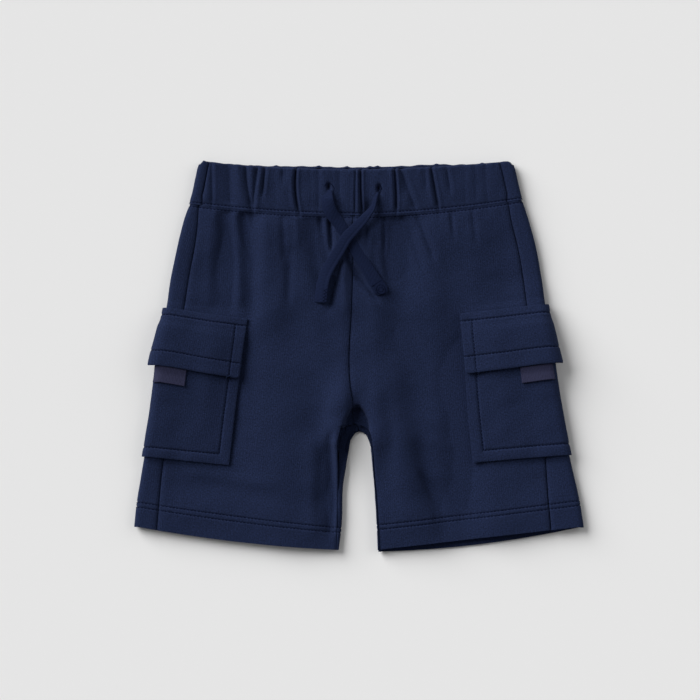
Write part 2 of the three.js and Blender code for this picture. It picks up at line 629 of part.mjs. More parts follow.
// A strip of the band along its stations. swell is how far its outer face stands out at x.
function band(stations, back, swell) {
  const grids = [[], []];
  bandRows.forEach((share, i) => {
    const line = stations.map((station) => {
      const { side, turn, atSeam } = station;
      let [y, out] = [124, 0];
      for (let pass = 0; pass < 5; pass += 1) {
        out = station.out(y);
        const foot = rowHeight(side, ROW.waist, out, 0) + SEAM_GAP;
        y = mix(foot, bandTop(side, out, back && turn < ON_TOP), share);
      }
      return { out: SIGN[side] * out, y, z: (BAND_HEIGHT / 2) * (1 + Math.sin(turn)), turn, atSeam };
    });
    const facing = back ? -1 : 1;
    withNormals(line).forEach((p) => {
      const round = share === 1 ? ROUNDING * BAND : 0;
      const flat = p.turn === ON_TOP || p.turn === BENEATH;
      const outer = flat ? swell(p.out, share) - round : -round;
      [outer, -BAND + round].forEach((height, face) => {
        (grids[face][i] ??= []).push({
          x: p.out + (p.atSeam ? 0 : facing * p.nOut * height),
          y: p.y,
          z: p.z + (p.atSeam ? 1 : facing * p.nZ) * height,
        });
      });
    });
  });
  return wall(grids[0], grids[1], back);
}

function waistbandFront() {
  const reach = (side, y) => outline(side, "seam", y) - SEAM_GAP / 2;
  const stations = steps(-1, 1, 62).map((share) => acrossStation(share, ON_TOP, reach));
  const [first, last] = ["right", "left"].map((side) => seamStation(side, -SEAM_GAP / 2));
  const swell = (x, share) =>
    GATHER_SWELL * Math.min(1, 3 * share) - gatherDepth(GATHERS.front, x, share);
  return band([first, ...stations.slice(1, -1), last], false, swell);
}

// The back strip starts at one side seam on the front, turns under at the fold, and ends at the other.
function waistbandBack() {
  const reach = (side, y) => outline(side, "edge", y) - SIDE_FOLD;
  const turns = steps(ON_TOP, BENEATH, 4);
  const wrap = (side) => [
    seamStation(side, SEAM_GAP / 2),
    ...turns.map((turn) => foldStation(side, turn)),
  ];
  const stations = [
    ...wrap("right"),
    ...steps(-0.96, 0.96, 40).map((share) => acrossStation(share, BENEATH, reach)),
    ...wrap("left").toReversed(),
  ];
  return band(stations, true, (x, share) => -gatherDepth(backGathers, x, share));
}

// Cuts blind buttonholes in the band, where the drawstring comes out.
const wasm = await Module();
wasm.setup();
function toSolid(geometry) {
  const bare = geometry.clone();
  bare.deleteAttribute("normal");
  bare.deleteAttribute("uv");
  const merged = mergeVertices(bare, 1e-4);
  return new wasm.Manifold(
    new wasm.Mesh({
      numProp: 3,
      vertProperties: new Float32Array(merged.attributes.position.array),
      triVerts: new Uint32Array(merged.index.array),
    }),
  );
}
function fromSolid(solid) {
  const { vertProperties, triVerts } = solid.getMesh();
  const geometry = new THREE.BufferGeometry();
  geometry.setAttribute("position", new THREE.Float32BufferAttribute(Array.from(vertProperties), 3));
  geometry.setIndex(Array.from(triVerts));
  geometry.computeVertexNormals();
  return geometry;
}
function withButtonholes(geometry) {
  return fromSolid(
    BUTTONHOLES.reduce((solid, { x, y }) => {
      const tool = new THREE.BoxGeometry(BUTTONHOLE.width, BUTTONHOLE.length, 2 * BUTTONHOLE.depth + 2);
      tool.translate(x, y, BAND_HEIGHT + 1);
      return solid.subtract(toSolid(tool));
    }, toSolid(geometry)),
  );
}

// A drawstring end: a flat tube swept along its route, its wide side lying on the cloth.
function drawstring(route) {
  const curve = new THREE.CatmullRomCurve3(route.map((p) => new THREE.Vector3(...p)));
  const { width, thick, sides } = DRAWSTRING;
  const section = new THREE.Shape(
    Array.from({ length: sides }, (_, i) => {
      const turn = ((i + 0.5) / sides) * 2 * Math.PI;
      const [up, across] = [Math.cos(turn), Math.sin(turn)].map((v) => Math.sign(v) * Math.abs(v) ** 0.7);
      return new THREE.Vector2((thick / 2) * up, (width / 2) * across);
    }),
  );
  return new THREE.ExtrudeGeometry(section, { steps: 2 * (route.length - 1), extrudePath: curve });
}

// Assembly
const shorts = new THREE.Group();
shorts.position.set(-BOX_CENTRE.x, -BOX_CENTRE.y, 0);
function add(name, geometry, colour = COLOUR.fleece) {
  const mesh = new THREE.Mesh(geometry, new THREE.MeshStandardMaterial({ color: colour, ...FINISH }));
  mesh.name = name;
  shorts.add(mesh);
}
for (const side of ["right", "left"]) {
  add(`front_${side}`, panel(side, FRONT_PLACES));
  add(`back_${side}`, panel(side, BACK_PLACES));
  add(`pocket_${side}`, pocket(side));
  add(`flap_${side}`, flap(side));
  add(`tab_${side}`, tab(side), COLOUR.tape);
}
add("waistband_front", withButtonholes(waistbandFront()));
add("waistband_back", waistbandBack());
for (const [name, route] of Object.entries(DRAWSTRING_ROUTES)) add(name, drawstring(route));

export default shorts;
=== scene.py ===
# A small child's pull-on cargo shorts in navy fleece, laid flat on a table with the front up.
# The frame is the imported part's, in metres. Sizes of cloth and sewing are given in millimetres
# and turned to metres where a mesh is placed. Right and left are the wearer's.
import math
import random

import bpy
import numpy as np
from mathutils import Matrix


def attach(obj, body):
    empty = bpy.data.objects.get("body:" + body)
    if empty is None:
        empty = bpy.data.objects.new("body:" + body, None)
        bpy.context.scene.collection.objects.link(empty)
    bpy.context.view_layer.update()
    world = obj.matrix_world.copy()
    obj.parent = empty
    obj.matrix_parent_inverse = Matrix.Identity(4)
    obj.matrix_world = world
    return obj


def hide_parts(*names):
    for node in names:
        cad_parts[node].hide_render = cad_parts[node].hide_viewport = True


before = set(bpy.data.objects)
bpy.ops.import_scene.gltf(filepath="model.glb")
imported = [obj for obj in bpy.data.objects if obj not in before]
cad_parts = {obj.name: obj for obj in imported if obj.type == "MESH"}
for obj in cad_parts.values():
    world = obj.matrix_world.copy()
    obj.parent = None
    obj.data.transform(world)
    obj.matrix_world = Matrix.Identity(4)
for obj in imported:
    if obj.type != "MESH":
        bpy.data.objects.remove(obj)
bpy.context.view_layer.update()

# Table, light and camera. The shorts lie on a plain pale grey sheet between two broad, low soft
# lights. Both stand on the waist side, the stronger one to the wearer's right. The camera looks
# straight down.
MM = 0.001
SHORTS_CENTRE = (-0.08, -0.97)  # the frame's origin, measured from the shorts' own centre lines
VIEW_CENTRE = (-6.67, 5.1)
VIEW_WIDTH = 525.0
CAMERA_HEIGHT = 3000.0
SENSOR = 36.0
TABLE_WIDTH = 6000.0
TABLE_DROP = 0.2  # keeps the cloth's flat underside out of the table's own plane
ROOM_LIGHT = 0.2


def linear(code):
    """An sRGB hex colour as the linear colour that a shader takes."""
    parts = [int(code[i : i + 2], 16) / 255 for i in (1, 3, 5)]
    return [c / 12.92 if c <= 0.04045 else ((c + 0.055) / 1.055) ** 2.4 for c in parts] + [1.0]


def add_node(material, kind, inputs=(), **settings):
    """Adds a node to a material. inputs pairs a socket with a value or with the socket it is fed by."""
    made = material.node_tree.nodes.new(kind)
    for name, value in settings.items():
        setattr(made, name, value)
    for socket, value in dict(inputs).items():
        if isinstance(value, bpy.types.NodeSocket):
            material.node_tree.links.new(value, made.inputs[socket])
        else:
            made.inputs[socket].default_value = value
    return made


def new_material(name):
    """An empty material."""
    made = bpy.data.materials.new(name)
    made.use_nodes = True
    made.node_tree.nodes.clear()
    return made


def add_shader(material, colour, roughness, shine, more=()):
    """Gives a material its surface: its colour, how matt it is, how it shines, and what else it has."""
    inputs = {"Base Color": colour, "Roughness": roughness, "Specular IOR Level": shine, **dict(more)}
    shader = add_node(material, "ShaderNodeBsdfPrincipled", inputs)
    add_node(material, "ShaderNodeOutputMaterial", {"Surface": shader.outputs[0]})


# Matt paper: even and pale, with no shine that would show the lights.
paper = new_material("matt_paper")
add_shader(paper, linear("#e6e6e6"), roughness=1.0, shine=0.0)

bpy.ops.object.select_all(action="DESELECT")
bpy.ops.mesh.primitive_plane_add(size=TABLE_WIDTH * MM, location=(0, 0, -TABLE_DROP * MM))
table = bpy.context.object
table.name = "table"
table.data.materials.append(paper)

# Each soft light: its angle from the waist side towards the wearer's right, height, softness, all
# in degrees, and its strength.
SOFT_LIGHTS = {"main_softbox": (52, 28, 46, 4.6), "side_softbox": (-66, 28, 50, 0.7)}
for name, (turn, height, softness, strength) in SOFT_LIGHTS.items():
    bpy.ops.object.light_add(type="SUN", location=(0, 0, 2))
    softbox = bpy.context.object
    softbox.name = name
    softbox.data.angle = math.radians(softness)
    softbox.data.energy = strength
    softbox.rotation_euler = (-math.radians(90 - height), 0, math.radians(turn))

world = bpy.data.worlds.new("soft_room")
bpy.context.scene.world = world
world.use_nodes = True
world.node_tree.nodes["Background"].inputs["Color"].default_value = (1, 1, 1, 1)
world.node_tree.nodes["Background"].inputs["Strength"].default_value = ROOM_LIGHT
bpy.context.scene.view_settings.view_transform = "Standard"

bpy.ops.object.camera_add(
    location=(VIEW_CENTRE[0] * MM, VIEW_CENTRE[1] * MM, CAMERA_HEIGHT * MM), rotation=(0, 0, 0)
)
camera = bpy.context.object
camera.data.sensor_width = SENSOR
camera.data.lens = SENSOR * CAMERA_HEIGHT / VIEW_WIDTH
bpy.context.scene.camera = camera

# Drawstring: two free ends of a flat strip of the same knit, folded and stitched, that come out
# of buttonholes in the waistband and lie crossed on the front. The left one lies on top. The
# right one ends in a stitched ring, the left one in a short row of tacking.
DRAWSTRING_ROUTES = {
    "left": [
        (14.6, 122.8, 9.7), (12.9, 118.5, 9.9), (10.3, 110.5, 10.2), (6.4, 105.4, 10.3),
        (2.2, 100.4, 10.4), (-4.0, 93.8, 10.7), (-9.8, 87.3, 10.7), (-15.0, 78.2, 10.0),
        (-20.2, 69.8, 8.4), (-24.6, 61.8, 7.6), (-27.0, 54.0, 7.4), (-28.4, 44.4, 7.3),
        (-28.6, 39.0, 7.3),
    ],
    "right": [
        (-22.8, 124.3, 9.6), (-23.6, 117.0, 9.5), (-21.5, 108.2, 9.2), (-15.0, 99.0, 8.3),
        (-9.1, 89.8, 7.9), (-2.6, 78.9, 7.6), (2.6, 71.0, 7.4), (7.7, 62.7, 7.4),
        (12.2, 55.5, 7.4), (16.3, 49.0, 7.4), (17.6, 45.0, 7.4),
    ],
}
DRAWSTRING_THICK = 2.0
HOLE_DIP = 3.4
END_ROUNDING = {"left": 1.4, "right": 4.2}
# Along each end, in mm from its hole: how wide it is and how far it is turned up, in degrees. The
# left one stands on its edge at the hole, and its tail is tipped up to the wearer's left.
DRAWSTRING_SHAPE = {
    "left": {
        "at": [0, 6, 14, 24, 40, 62, 80, 97],
        "width": [3.2, 3.6, 5.0, 7.0, 8.6, 8.8, 9.6, 10.2],
        "turn": [50, 46, 30, 12, 4, 10, 20, 18],
    },
    "right": {
        "at": [0, 6, 14, 24, 40, 62, 80, 91],
        "width": [7.6, 9.8, 10.2, 9.4, 9.0, 9.2, 10.6, 11.2],
        "turn": [34, 26, 10, 0, 0, -6, -8, -4],
    },
}


def smooth(start, end, value):
    """0 before start, 1 after end, and an even turn between them."""
    share = np.clip((value - start) / (end - start), 0, 1)
    return share * share * (3 - 2 * share)


def smooth_route(points, count):
    """A smooth curve through given points, as count points evenly along it."""
    knots = np.array(points, float)
    ends = np.vstack([2 * knots[0] - knots[1], knots, 2 * knots[-1] - knots[-2]])
    dense = []
    for a, b, c, d in zip(ends, ends[1:], ends[2:], ends[3:]):
        t = np.linspace(0, 1, 24, endpoint=False)[:, None]
        dense.append(
            0.5 * (2 * b + (c - a) * t + (2 * a - 5 * b + 4 * c - d) * t**2 + (3 * b - a - 3 * c + d) * t**3)
        )
    dense = np.vstack([*dense, knots[-1:]])
    length = np.r_[0, np.cumsum(np.linalg.norm(np.diff(dense, axis=0), axis=1))]
    at = np.linspace(0, length[-1], count)
    return np.stack([np.interp(at, length, dense[:, k]) for k in range(3)], axis=1), length[-1]


def cloth_grid(name, points, texture, material):
    """A sheet of cloth through a grid of points in mm, with its texture laid out in metres."""
    rows, columns = points.shape[:2]
    bpy.ops.object.select_all(action="DESELECT")
    bpy.ops.mesh.primitive_grid_add(x_subdivisions=columns - 1, y_subdivisions=rows - 1, size=1)
    sheet = bpy.context.object
    sheet.name = sheet.data.name = name
    sheet.data.vertices.foreach_set("co", (points * MM).ravel())
    corners = np.zeros(len(sheet.data.loops), int)
    sheet.data.loops.foreach_get("vertex_index", corners)
    sheet.data.uv_layers.active.data.foreach_set("uv", (texture.reshape(-1, 2) * MM)[corners].ravel())
    sheet.data.materials.append(material)
    sheet.data.update()
    return sheet


def laid_out(points):
    """How far each point of a grid lies across and along the cloth, in mm."""
    across = np.cumsum(np.linalg.norm(np.diff(points, axis=1, prepend=points[:, :1]), axis=-1), axis=1)
    along = np.cumsum(np.linalg.norm(np.diff(points, axis=0, prepend=points[:1]), axis=-1), axis=0)
    middle = across.shape[1] // 2
    return np.stack([across - across[:, middle : middle + 1], along], axis=-1)


def closed_tube(sheet):
    """Joins a sheet that was rolled into a tube along its edge and at its ends."""
    bpy.ops.object.mode_set(mode="EDIT")
    bpy.ops.mesh.select_all(action="SELECT")
    bpy.ops.mesh.remove_doubles(threshold=0.00002)
    bpy.ops.mesh.normals_make_consistent(inside=False)
    bpy.ops.object.mode_set(mode="OBJECT")
    bpy.ops.object.shade_smooth()
    return sheet


WAVE_PHASE = {"X": 20.0, "DIAGONAL": 10.0 * math.sqrt(2)}  # a wave texture's own phase in a unit


def add_rows(material, place, apart, distortion, detail, detail_scale, direction="X"):
    """Rows of loops or ribs, a distance in mm apart, as soft waves over the cloth's layout."""
    inputs = {
        "Vector": place,
        "Scale": 2 * math.pi / (WAVE_PHASE[direction] * apart * MM),
        "Distortion": distortion,
        "Detail": detail,
        "Detail Scale": detail_scale,
    }
    waves = add_node(material, "ShaderNodeTexWave", inputs, wave_type="BANDS", bands_direction=direction)
    return waves.outputs["Fac"]


def add_grains(material, place, grains, detail=2.0, roughness=0.5):
    """Fuzz: a fine random pattern, with about so many grains to the metre."""
    inputs = {"Vector": place, "Scale": grains, "Detail": detail, "Roughness": roughness}
    return add_node(material, "ShaderNodeTexNoise", inputs).outputs["Fac"]


def add_math(material, operation, first, second):
    """Two patterns, or a pattern and a number, put together."""
    return add_node(material, "ShaderNodeMath", {0: first, 1: second}, operation=operation).outputs[0]


def add_tone(material, pattern, dark, light):
    """A colour between two, by a pattern."""
    inputs = {"Factor": pattern, "A": linear(dark), "B": linear(light)}
    return add_node(material, "ShaderNodeMix", inputs, data_type="RGBA").outputs["Result"]


def add_bump(material, height, strength, distance):
    """A pattern as fine relief, with its greatest height in mm."""
    inputs = {"Height": height, "Strength": strength, "Distance": distance * MM}
    return add_node(material, "ShaderNodeBump", inputs).outputs[0]


# Knitted strip: a flat matt jersey, a little darker than the shorts, whose rows of loops show as
# fine slanting lines. The real loops are 0.8 mm apart and are drawn 1.85 mm apart to show.
strip = new_material("knitted_drawstring_jersey")
strip_place = add_node(strip, "ShaderNodeUVMap", uv_map="UVMap").outputs[0]
strip_loops = add_rows(strip, strip_place, 1.8512, 1.5, 1.0, 2.0, "DIAGONAL")
strip_fuzz = add_grains(strip, strip_place, 900.0, 3.0)
strip_bump = add_bump(strip, add_math(strip, "ADD", strip_loops, strip_fuzz), 0.3, 0.2)
strip_tone = add_tone(strip, strip_fuzz, "#070f24", "#111c3a")
add_shader(strip, strip_tone, 0.9, 0.12, {"Normal": strip_bump})


def drawstring_frame(side, count=150):
    """The centreline, its length, and at each of its points the width and the directions of the strip."""
    line, length = smooth_route(DRAWSTRING_ROUTES[side], count)
    line = line - np.array([*SHORTS_CENTRE, 0])
    from_hole = np.linspace(0, length, count)
    shape = DRAWSTRING_SHAPE[side]
    width, turn = (np.interp(from_hole, shape["at"], shape[key]) for key in ("width", "turn"))
    turn = np.radians(turn)[:, None]
    tangent = np.gradient(line, axis=0)
    tangent /= np.linalg.norm(tangent, axis=1, keepdims=True)
    flat_aside = np.cross(tangent, [0, 0, 1.0])
    flat_aside /= np.linalg.norm(flat_aside, axis=1, keepdims=True)
    flat_up = np.cross(flat_aside, tangent)
    aside = flat_aside * np.cos(turn) - flat_up * np.sin(turn)
    up = flat_up * np.cos(turn) + flat_aside * np.sin(turn)
    # A strip that is tipped up rests on its lower edge.
    raised = 0.42 * width * np.abs(np.sin(turn[:, 0])) * smooth(4, 20, from_hole)
    line[:, 2] += raised - HOLE_DIP * (1 - smooth(0, 8, from_hole))
    return line, length, from_hole, width, aside, up


def drawstring_tube(side):
    """The flat tube's grid of points in mm: across goes round it, and along goes down it."""
    line, length, from_hole, width, aside, up = drawstring_frame(side)
    from_end = length - from_hole
    thick = DRAWSTRING_THICK * (1.3 - 0.3 * smooth(0, 16, from_hole)) * (1 - 0.1 * smooth(8, 2, from_end))
    closing = np.sqrt(np.clip(np.minimum(from_hole, from_end) / 1.2, 0, 1))
    rounded = np.sqrt(1 - np.clip(1 - from_end / END_ROUNDING[side], 0, 0.98) ** 2)
    turn = np.linspace(0, 2 * math.pi, 41)
    across, over_it = (np.sign(v) * np.abs(v) ** p for v, p in ((np.cos(turn), 0.75), (np.sin(turn), 0.6)))
    wide = across[None] * (width * np.minimum(closing, rounded))[:, None] / 2
    high = over_it[None] * (thick * closing)[:, None] / 2
    # The strip's own joining seam is a shallow line along its upper face.
    seam_at = {"left": -0.45, "right": 0.5}[side]
    seam_line = np.exp(-(((wide / width[:, None] * 2 - seam_at) / 0.08) ** 2)) * (high > 0)
    high = high - 0.35 * seam_line * closing[:, None]
    points = line[:, None] + wide[..., None] * aside[:, None] + high[..., None] * up[:, None]
    texture = np.stack(np.broadcast_arrays(turn[None] * 3.2, from_hole[:, None]), axis=-1)
    return points, texture, line, length


for side in ("left", "right"):
    points, texture, line, length = drawstring_tube(side)
    drawstring = closed_tube(cloth_grid(f"drawstring_end_{side}", points, texture, strip))
    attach(drawstring, "root")
    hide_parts(f"drawstring_{side}")

# Front panels: one for each leg, from the centre seam and inseam out to the side seam, which has
# rolled onto the front. Cut from brushed fleece, turned up and sewn with two rows at the hem.
CLOTH = 1.6
SEAM_GAP, BACK_SEAM_GAP = 0.3, 0.05
SIDE_FOLD, INNER_FOLD = 3.5, 3.3
# Heights of the front's face over the table, and how much the pocket adds where it lies on it.
FOLD_HEIGHT, LEG_HEIGHT, FLAT_HEIGHT, HEM_HEIGHT = 6.6, 6.4, 4.5, 6.5
BAND_HEIGHT, LEAST_HEIGHT, POCKET_STEP = 7.1, 3.8, 1.9
# How far in from the side fold, the inseam and the pocket's back edge the height keeps changing.
EDGE_SPREAD, INSIDE_SPREAD, POCKET_SPREAD = 30.0, 22.0, 7.0
# Rows from the hem up, by their numbers in ROWS, and the stitching's distance from the band's seam.
HEM_ROW, LOWER_STITCH, UPPER_STITCH, POCKET_FOOT = 0, 2, 3, 7
FLAP_FOOT, POCKET_MOUTH, FLAP_TOP, WAIST_ROW = 14, 16, 18, 23
ROW_NUMBERS = np.arange(WAIST_ROW + 1)
SEAM_STITCH = 1.75
# Between these two heights the hips part into legs. Beneath the front's edge there is some room,
# and the edge itself is lifted.
CROTCH_UNDER, CROTCH_LEGS, CROTCH_ROOM, CROTCH_LIFT = -49.5, -52.0, 2.8, 5.0
# Heights there, where closer rows follow the sharp turn of the cloth.
CROTCH_LINES = (-50.8, -52.4, -54.5, -57)
SIGN = {"right": -1.0, "left": 1.0}
# The order of places across a sheet that makes its outer face look out.
OUTWARD = {"right": slice(None, None, -1), "left": slice(None)}

# Rows from hem to waist: y on the centre line and at the side, and how far the row bows between.
ROWS = {
    "right": {
        "middle": [-146.2, -144.8, -133.9, -130.4, -117.0, -106.0, -96.0, -91.0, -76.0, -66.0, -61.0, -57.2,
                   -49.0, -38.0, -31.0, -13.0, 4.0, 12.0, 22.5, 30.0, 51.0, 72.0, 91.0, 104.8],
        "side": [-127.7, -126.3, -113.1, -109.6, -99.0, -89.0, -80.0, -75.3, -62.0, -52.0, -44.0, -38.0,
                 -29.0, -13.0, -6.6, 9.0, 22.0, 28.0, 36.4, 42.5, 61.0, 81.0, 99.5, 113.6],
        "bow": [-3.3, -3.3, -1.9, -1.6, -2.0, -1.4, -0.7, -0.6, -0.6, -0.8, -1.0, -1.2,
                -1.2, -1.0, -1.0, -2.0, -2.6, -2.8, -3.0, -2.8, -2.5, -2.2, -2.0, -2.0],
    },
    "left": {
        "middle": [-147.2, -145.8, -132.1, -128.6, -117.0, -106.0, -94.5, -89.5, -76.0, -66.0, -61.0, -57.2,
                   -48.6, -30.0, -23.0, -7.0, 8.0, 15.5, 24.5, 31.0, 51.0, 72.0, 91.0, 104.7],
        "side": [-128.0, -126.6, -112.1, -108.6, -98.0, -88.0, -79.0, -74.2, -60.0, -49.5, -41.5, -34.5,
                 -27.0, -11.3, -5.0, 10.0, 24.0, 30.5, 38.8, 45.0, 63.5, 83.5, 102.5, 116.8],
        "bow": [0.2, 0.2, -0.3, -0.4, 0.0, 0.5, 0.9, 1.0, 0.8, 0.4, 0.0, 0.0,
                0.0, -0.6, -0.6, -0.6, -0.6, -0.6, -0.6, -0.8, -1.2, -1.6, -2.0, -2.2],
    },
}
BACK_HEM_BOW = {"right": -3.3, "left": -4.6}

# Distances out from the centre line: the side fold, the side seam and the pocket's inner edge.
OUTLINE = {
    "right": {
        "y": [-129, -106, -78, -40, 0, 36, 58, 82, 100, 113, 122, 134, 142, 146],
        "edge": [168.7, 166.0, 161.2, 154.6, 149.6, 144.2, 141.0, 136.0, 131.7, 127.6, 125.0, 122.4, 120.4,
                 117.2],
        "seam": [151.2, 149.3, 146.3, 141.4, 136.0, 130.6, 127.4, 122.8, 120.8, 119.6, 116.6, 114.2, 112.6,
                 111.4],
        "pocket": [102.0, 100.0, 97.0, 92.6, 87.4, 82.2, 80.4, 79.0, 78.0, 77.0, 76.5, 75.8, 75.3, 75.0],
    },
    "left": {
        "y": [-129, -106, -78, -40, 0, 36, 58, 82, 100, 116, 124, 134, 142, 146],
        "edge": [168.5, 164.9, 158.2, 150.4, 144.2, 139.7, 136.9, 132.4, 127.6, 122.8, 120.6, 118.3, 116.0,
                 112.8],
        "seam": [143.6, 141.5, 139.4, 135.0, 129.8, 125.6, 122.8, 118.6, 114.2, 111.4, 110.2, 107.8, 105.8,
                 104.4],
        "pocket": [89.5, 87.5, 84.9, 81.0, 78.4, 74.6, 72.6, 70.5, 69.0, 67.7, 67.0, 66.3, 65.8, 65.5],
    },
}

# The inner edges: front seam and inseam, and beneath them the back seam and the leg's inside.
INNER = {
    "right": {
        "y": [-146, -131, -117, -98, -80, -71, -63.5, -60, -58.3, -57.5, -57, -53.2, -51.6, -45, -28, -2, 34,
              75, 107, 146],
        "front": [17.0, 16.6, 16.2, 15.8, 15.5, 15.0, 14.2, 13.6, 13.3, 13.1, 13.0, 12.2, 4.8, 4.6, 6.5, 7.7,
                  5.8, 4.6, 4.6, 2.6],
        "under": [15.2, 12.9, 12.4, 11.7, 9.2, 7.4, 6.0, 4.1, 2.7, 1.5, -0.4, -0.4, -0.3, 0.2, 0.6, 1.0, 1.4,
                  1.8, 2.0, 2.0],
    },
    "left": {
        "y": [-146, -131, -112, -99, -88, -77, -70, -63.5, -60, -58.3, -57.5, -57, -54.9, -52.9, -51.3, -50.6,
              -45, -28, -2, 34, 75, 107, 146],
        "front": [15.6, 14.9, 13.9, 12.7, 11.7, 11.0, 10.4, 9.5, 9.0, 8.5, 8.1, 7.8, 6.0, 3.0, -1.9, -4.4,
                  -4.6, -6.5, -7.7, -5.8, -4.6, -4.6, -2.6],
        "under": [14.4, 13.8, 12.9, 11.7, 10.9, 10.1, 9.0, 7.0, 5.6, 4.0, 2.4, -0.4, -0.4, -0.4, -0.4, -0.3,
                  -0.2, -0.6, -1.0, -1.4, -1.8, -2.0, -2.0],
    },
}
# How far the pocket and flap under the back lift it, and the front over it, row by row.
LIFTS = {
    "row": [6, 7, 11, 13, 14, 16, 17, 18, 19, 20],
    "back": [0, 1.9, 1.9, 1.9, 4.6, 4.6, 2.7, 2.7, 0, 0],
    "front": [0.6, 1.9, 2.1, 3.5, 4.6, 4.6, 3.9, 2.7, 1.4, 0],
}

# Soft folds of the front: a ridge or a trough along a line, x and y in mm, height over the cloth.
FOLDS = [
    # x1, y1, x2, y2, width, height
    (-90, 104, -106, 48, 9, -1.0), (-62, 100, -68, 40, 15, 1.3), (-34, 98, -30, 58, 9, -0.7),
    (12, 92, 14, 40, 13, 1.0), (36, 100, 33, 56, 9, -0.8), (62, 104, 58, 46, 16, 1.2),
    (-56, -40, -60, -118, 22, 1.3), (-24, -74, -26, -122, 8, -1.1), (34, -66, 48, -124, 13, 1.5),
    (46, -74, 62, -122, 7, -1.2), (-2, -38, 0, -58, 8, -1.0), (-17, -38, -22, -60, 7, 1.1),
    (13, -34, 16, -60, 7, 1.1), (92, -96, 104, -122, 14, 0.9),
]

# Smaller creases and swells that only show close to, set the same way.
CREASES = [
    (-99, 108, -97, 40, 5.0, -0.9), (-87, 104, -84.5, 88, 2.6, -1.5), (-103, 100, -100, 66, 3.0, -0.5),
    (-57, 103, -56, 78, 2.4, -0.7), (-52, 74, -53, 46, 3.0, -0.7), (-70, 96, -72, 60, 7.0, 0.7),
    (-29, 103, -27, 84, 1.6, -1.4), (-21.4, 98, -20.8, 85, 1.7, -2.0), (-25, 76, -20, 62, 3.0, -1.2),
    (-34, 100, -30, 60, 6.0, -0.7),
    (4, 104, 6, 88, 1.8, -1.0), (18.6, 104, 19, 84, 1.3, -1.3), (24, 92, 24, 60, 4.5, -0.8),
    (32, 104, 33, 84, 2.2, -0.8), (44, 104, 54, 78, 2.0, -0.9), (38, 92, 46, 70, 2.4, -0.6),
    (68.5, 108, 70, 96, 1.4, -0.7), (85, 108, 87, 92, 2.0, -0.5), (11, 78, 14, 58, 3.0, -0.7),
    (-46, 104, -46, 88, 3.0, 0.5), (-35, -72, -34, -124, 7.0, 0.9),
    (-16.5, -66, -17, -126, 2.6, 1.0), (48.8, -93, 58.7, -110, 2.4, -1.2),
    (22, -30, 32, -112, 14.0, 1.5), (57, -66, 84, -74, 6.0, 0.5), (-122, -88, -70, -96, 5.0, 0.5),
    (-44, 44, -84, 20, 12.0, 0.7), (36, 12, 66, -24, 14.0, -0.6), (-66, -8, -20, -20, 14.0, 0.6),
    (-8, 71, -2, 61, 2.2, -1.5), (-2, 62, 11, 45, 1.5, -1.1), (-15, 70, -21, 42, 3.2, -1.4),
    (14, 84, 24, 62, 4.0, -0.9), (-20, -64, -20.5, -128, 4.0, -1.5), (76, -14, 78, -108, 14.0, -1.5),
    (30, -24, 34, -104, 11.0, 0.6),
    (-6, 96, -9, 40, 14.0, 0.9), (26, 100, 30, 46, 14.0, -1.1),
    (2, 2, 2, -20, 14.0, 1.1), (36, 8, 40, -30, 15.0, -1.3), (-110, 102, -112, 44, 5.0, 0.7),
    (-92.5, 104, -90, 44, 4.0, 0.9), (-80, 108, -80, 36, 6.0, -1.2),
    (86, 84, 84, 40, 14.0, 0.8), (-12, 66, -10, 40, 3.0, 0.5), (-40, 70, -34, 24, 9.0, 0.5),
    (30, 54, 44, 16, 8.0, 0.5), (-30, 6, -14, -30, 9.0, 0.4),
]

# The hollow above the inseams: an arch round a middle, with its half width and height, how deep it
# is and how high its rim stands, in mm.
HOLLOW = {"x": -1.6, "foot": -57.0, "wide": 9.8, "high": 19.5, "deep": 9.0, "rim": 5.4}


def hollow_rise(x, y):
    """The dark arched hollow at the crotch, and the rim of cloth that stands round it."""
    across, up = (x - HOLLOW["x"]) / HOLLOW["wide"], np.maximum(0, y - HOLLOW["foot"]) / HOLLOW["high"]
    from_middle = np.hypot(across, up)
    fade = smooth(-104, -62, y)
    inside = HOLLOW["deep"] * (1 - smooth(0.78, 1.0, from_middle))
    outside = np.maximum(0, from_middle - 1.08)
    # The rim is highest to the wearer's right and over the top, so its shade fills the hollow.
    crest = 0.85 - 0.3 * np.clip(across, -1, 1) + 0.15 * np.clip(up, 0, 1)
    spread = 1.05 - 0.3 * np.clip(across, -1, 1)
    rim = HOLLOW["rim"] * crest * smooth(0.88, 1.08, from_middle) * np.exp(-((outside / spread) ** 2))
    return rim * fade - inside * (from_middle < 1.0)


def column(table, key, at):
    """One column of a table at heights y, on a smooth curve that doesn't overshoot its rows."""
    y, value = np.array(table["y"], float), np.array(table[key], float)
    chord = np.diff(value) / np.diff(y)
    ends = np.r_[chord[0], (value[2:] - value[:-2]) / (y[2:] - y[:-2]), chord[-1]]
    at = np.clip(at, y[0], y[-1])
    i = np.clip(np.searchsorted(y, at, side="left") - 1, 0, len(y) - 2)
    span = y[i + 1] - y[i]
    tame = lambda s: np.where(s * chord[i] <= 0, 0, np.sign(chord[i]) * np.minimum(abs(s), 3 * abs(chord[i])))
    t, m0, m1 = (at - y[i]) / span, tame(ends[i]) * span, tame(ends[i + 1]) * span
    return (
        (2 * t**3 - 3 * t**2 + 1) * value[i]
        + (t**3 - 2 * t**2 + t) * m0
        + (3 * t**2 - 2 * t**3) * value[i + 1]
        + (t**3 - t**2) * m1
    )


def lift(key, row):
    """How far the pocket and flap beneath raise the cloth at a row, with soft steps."""
    rows, values = np.array(LIFTS["row"]), np.array(LIFTS[key], float)
    i = np.clip(np.searchsorted(rows, row, side="left") - 1, 0, len(rows) - 2)
    return values[i] + (values[i + 1] - values[i]) * smooth(rows[i], rows[i + 1], row)


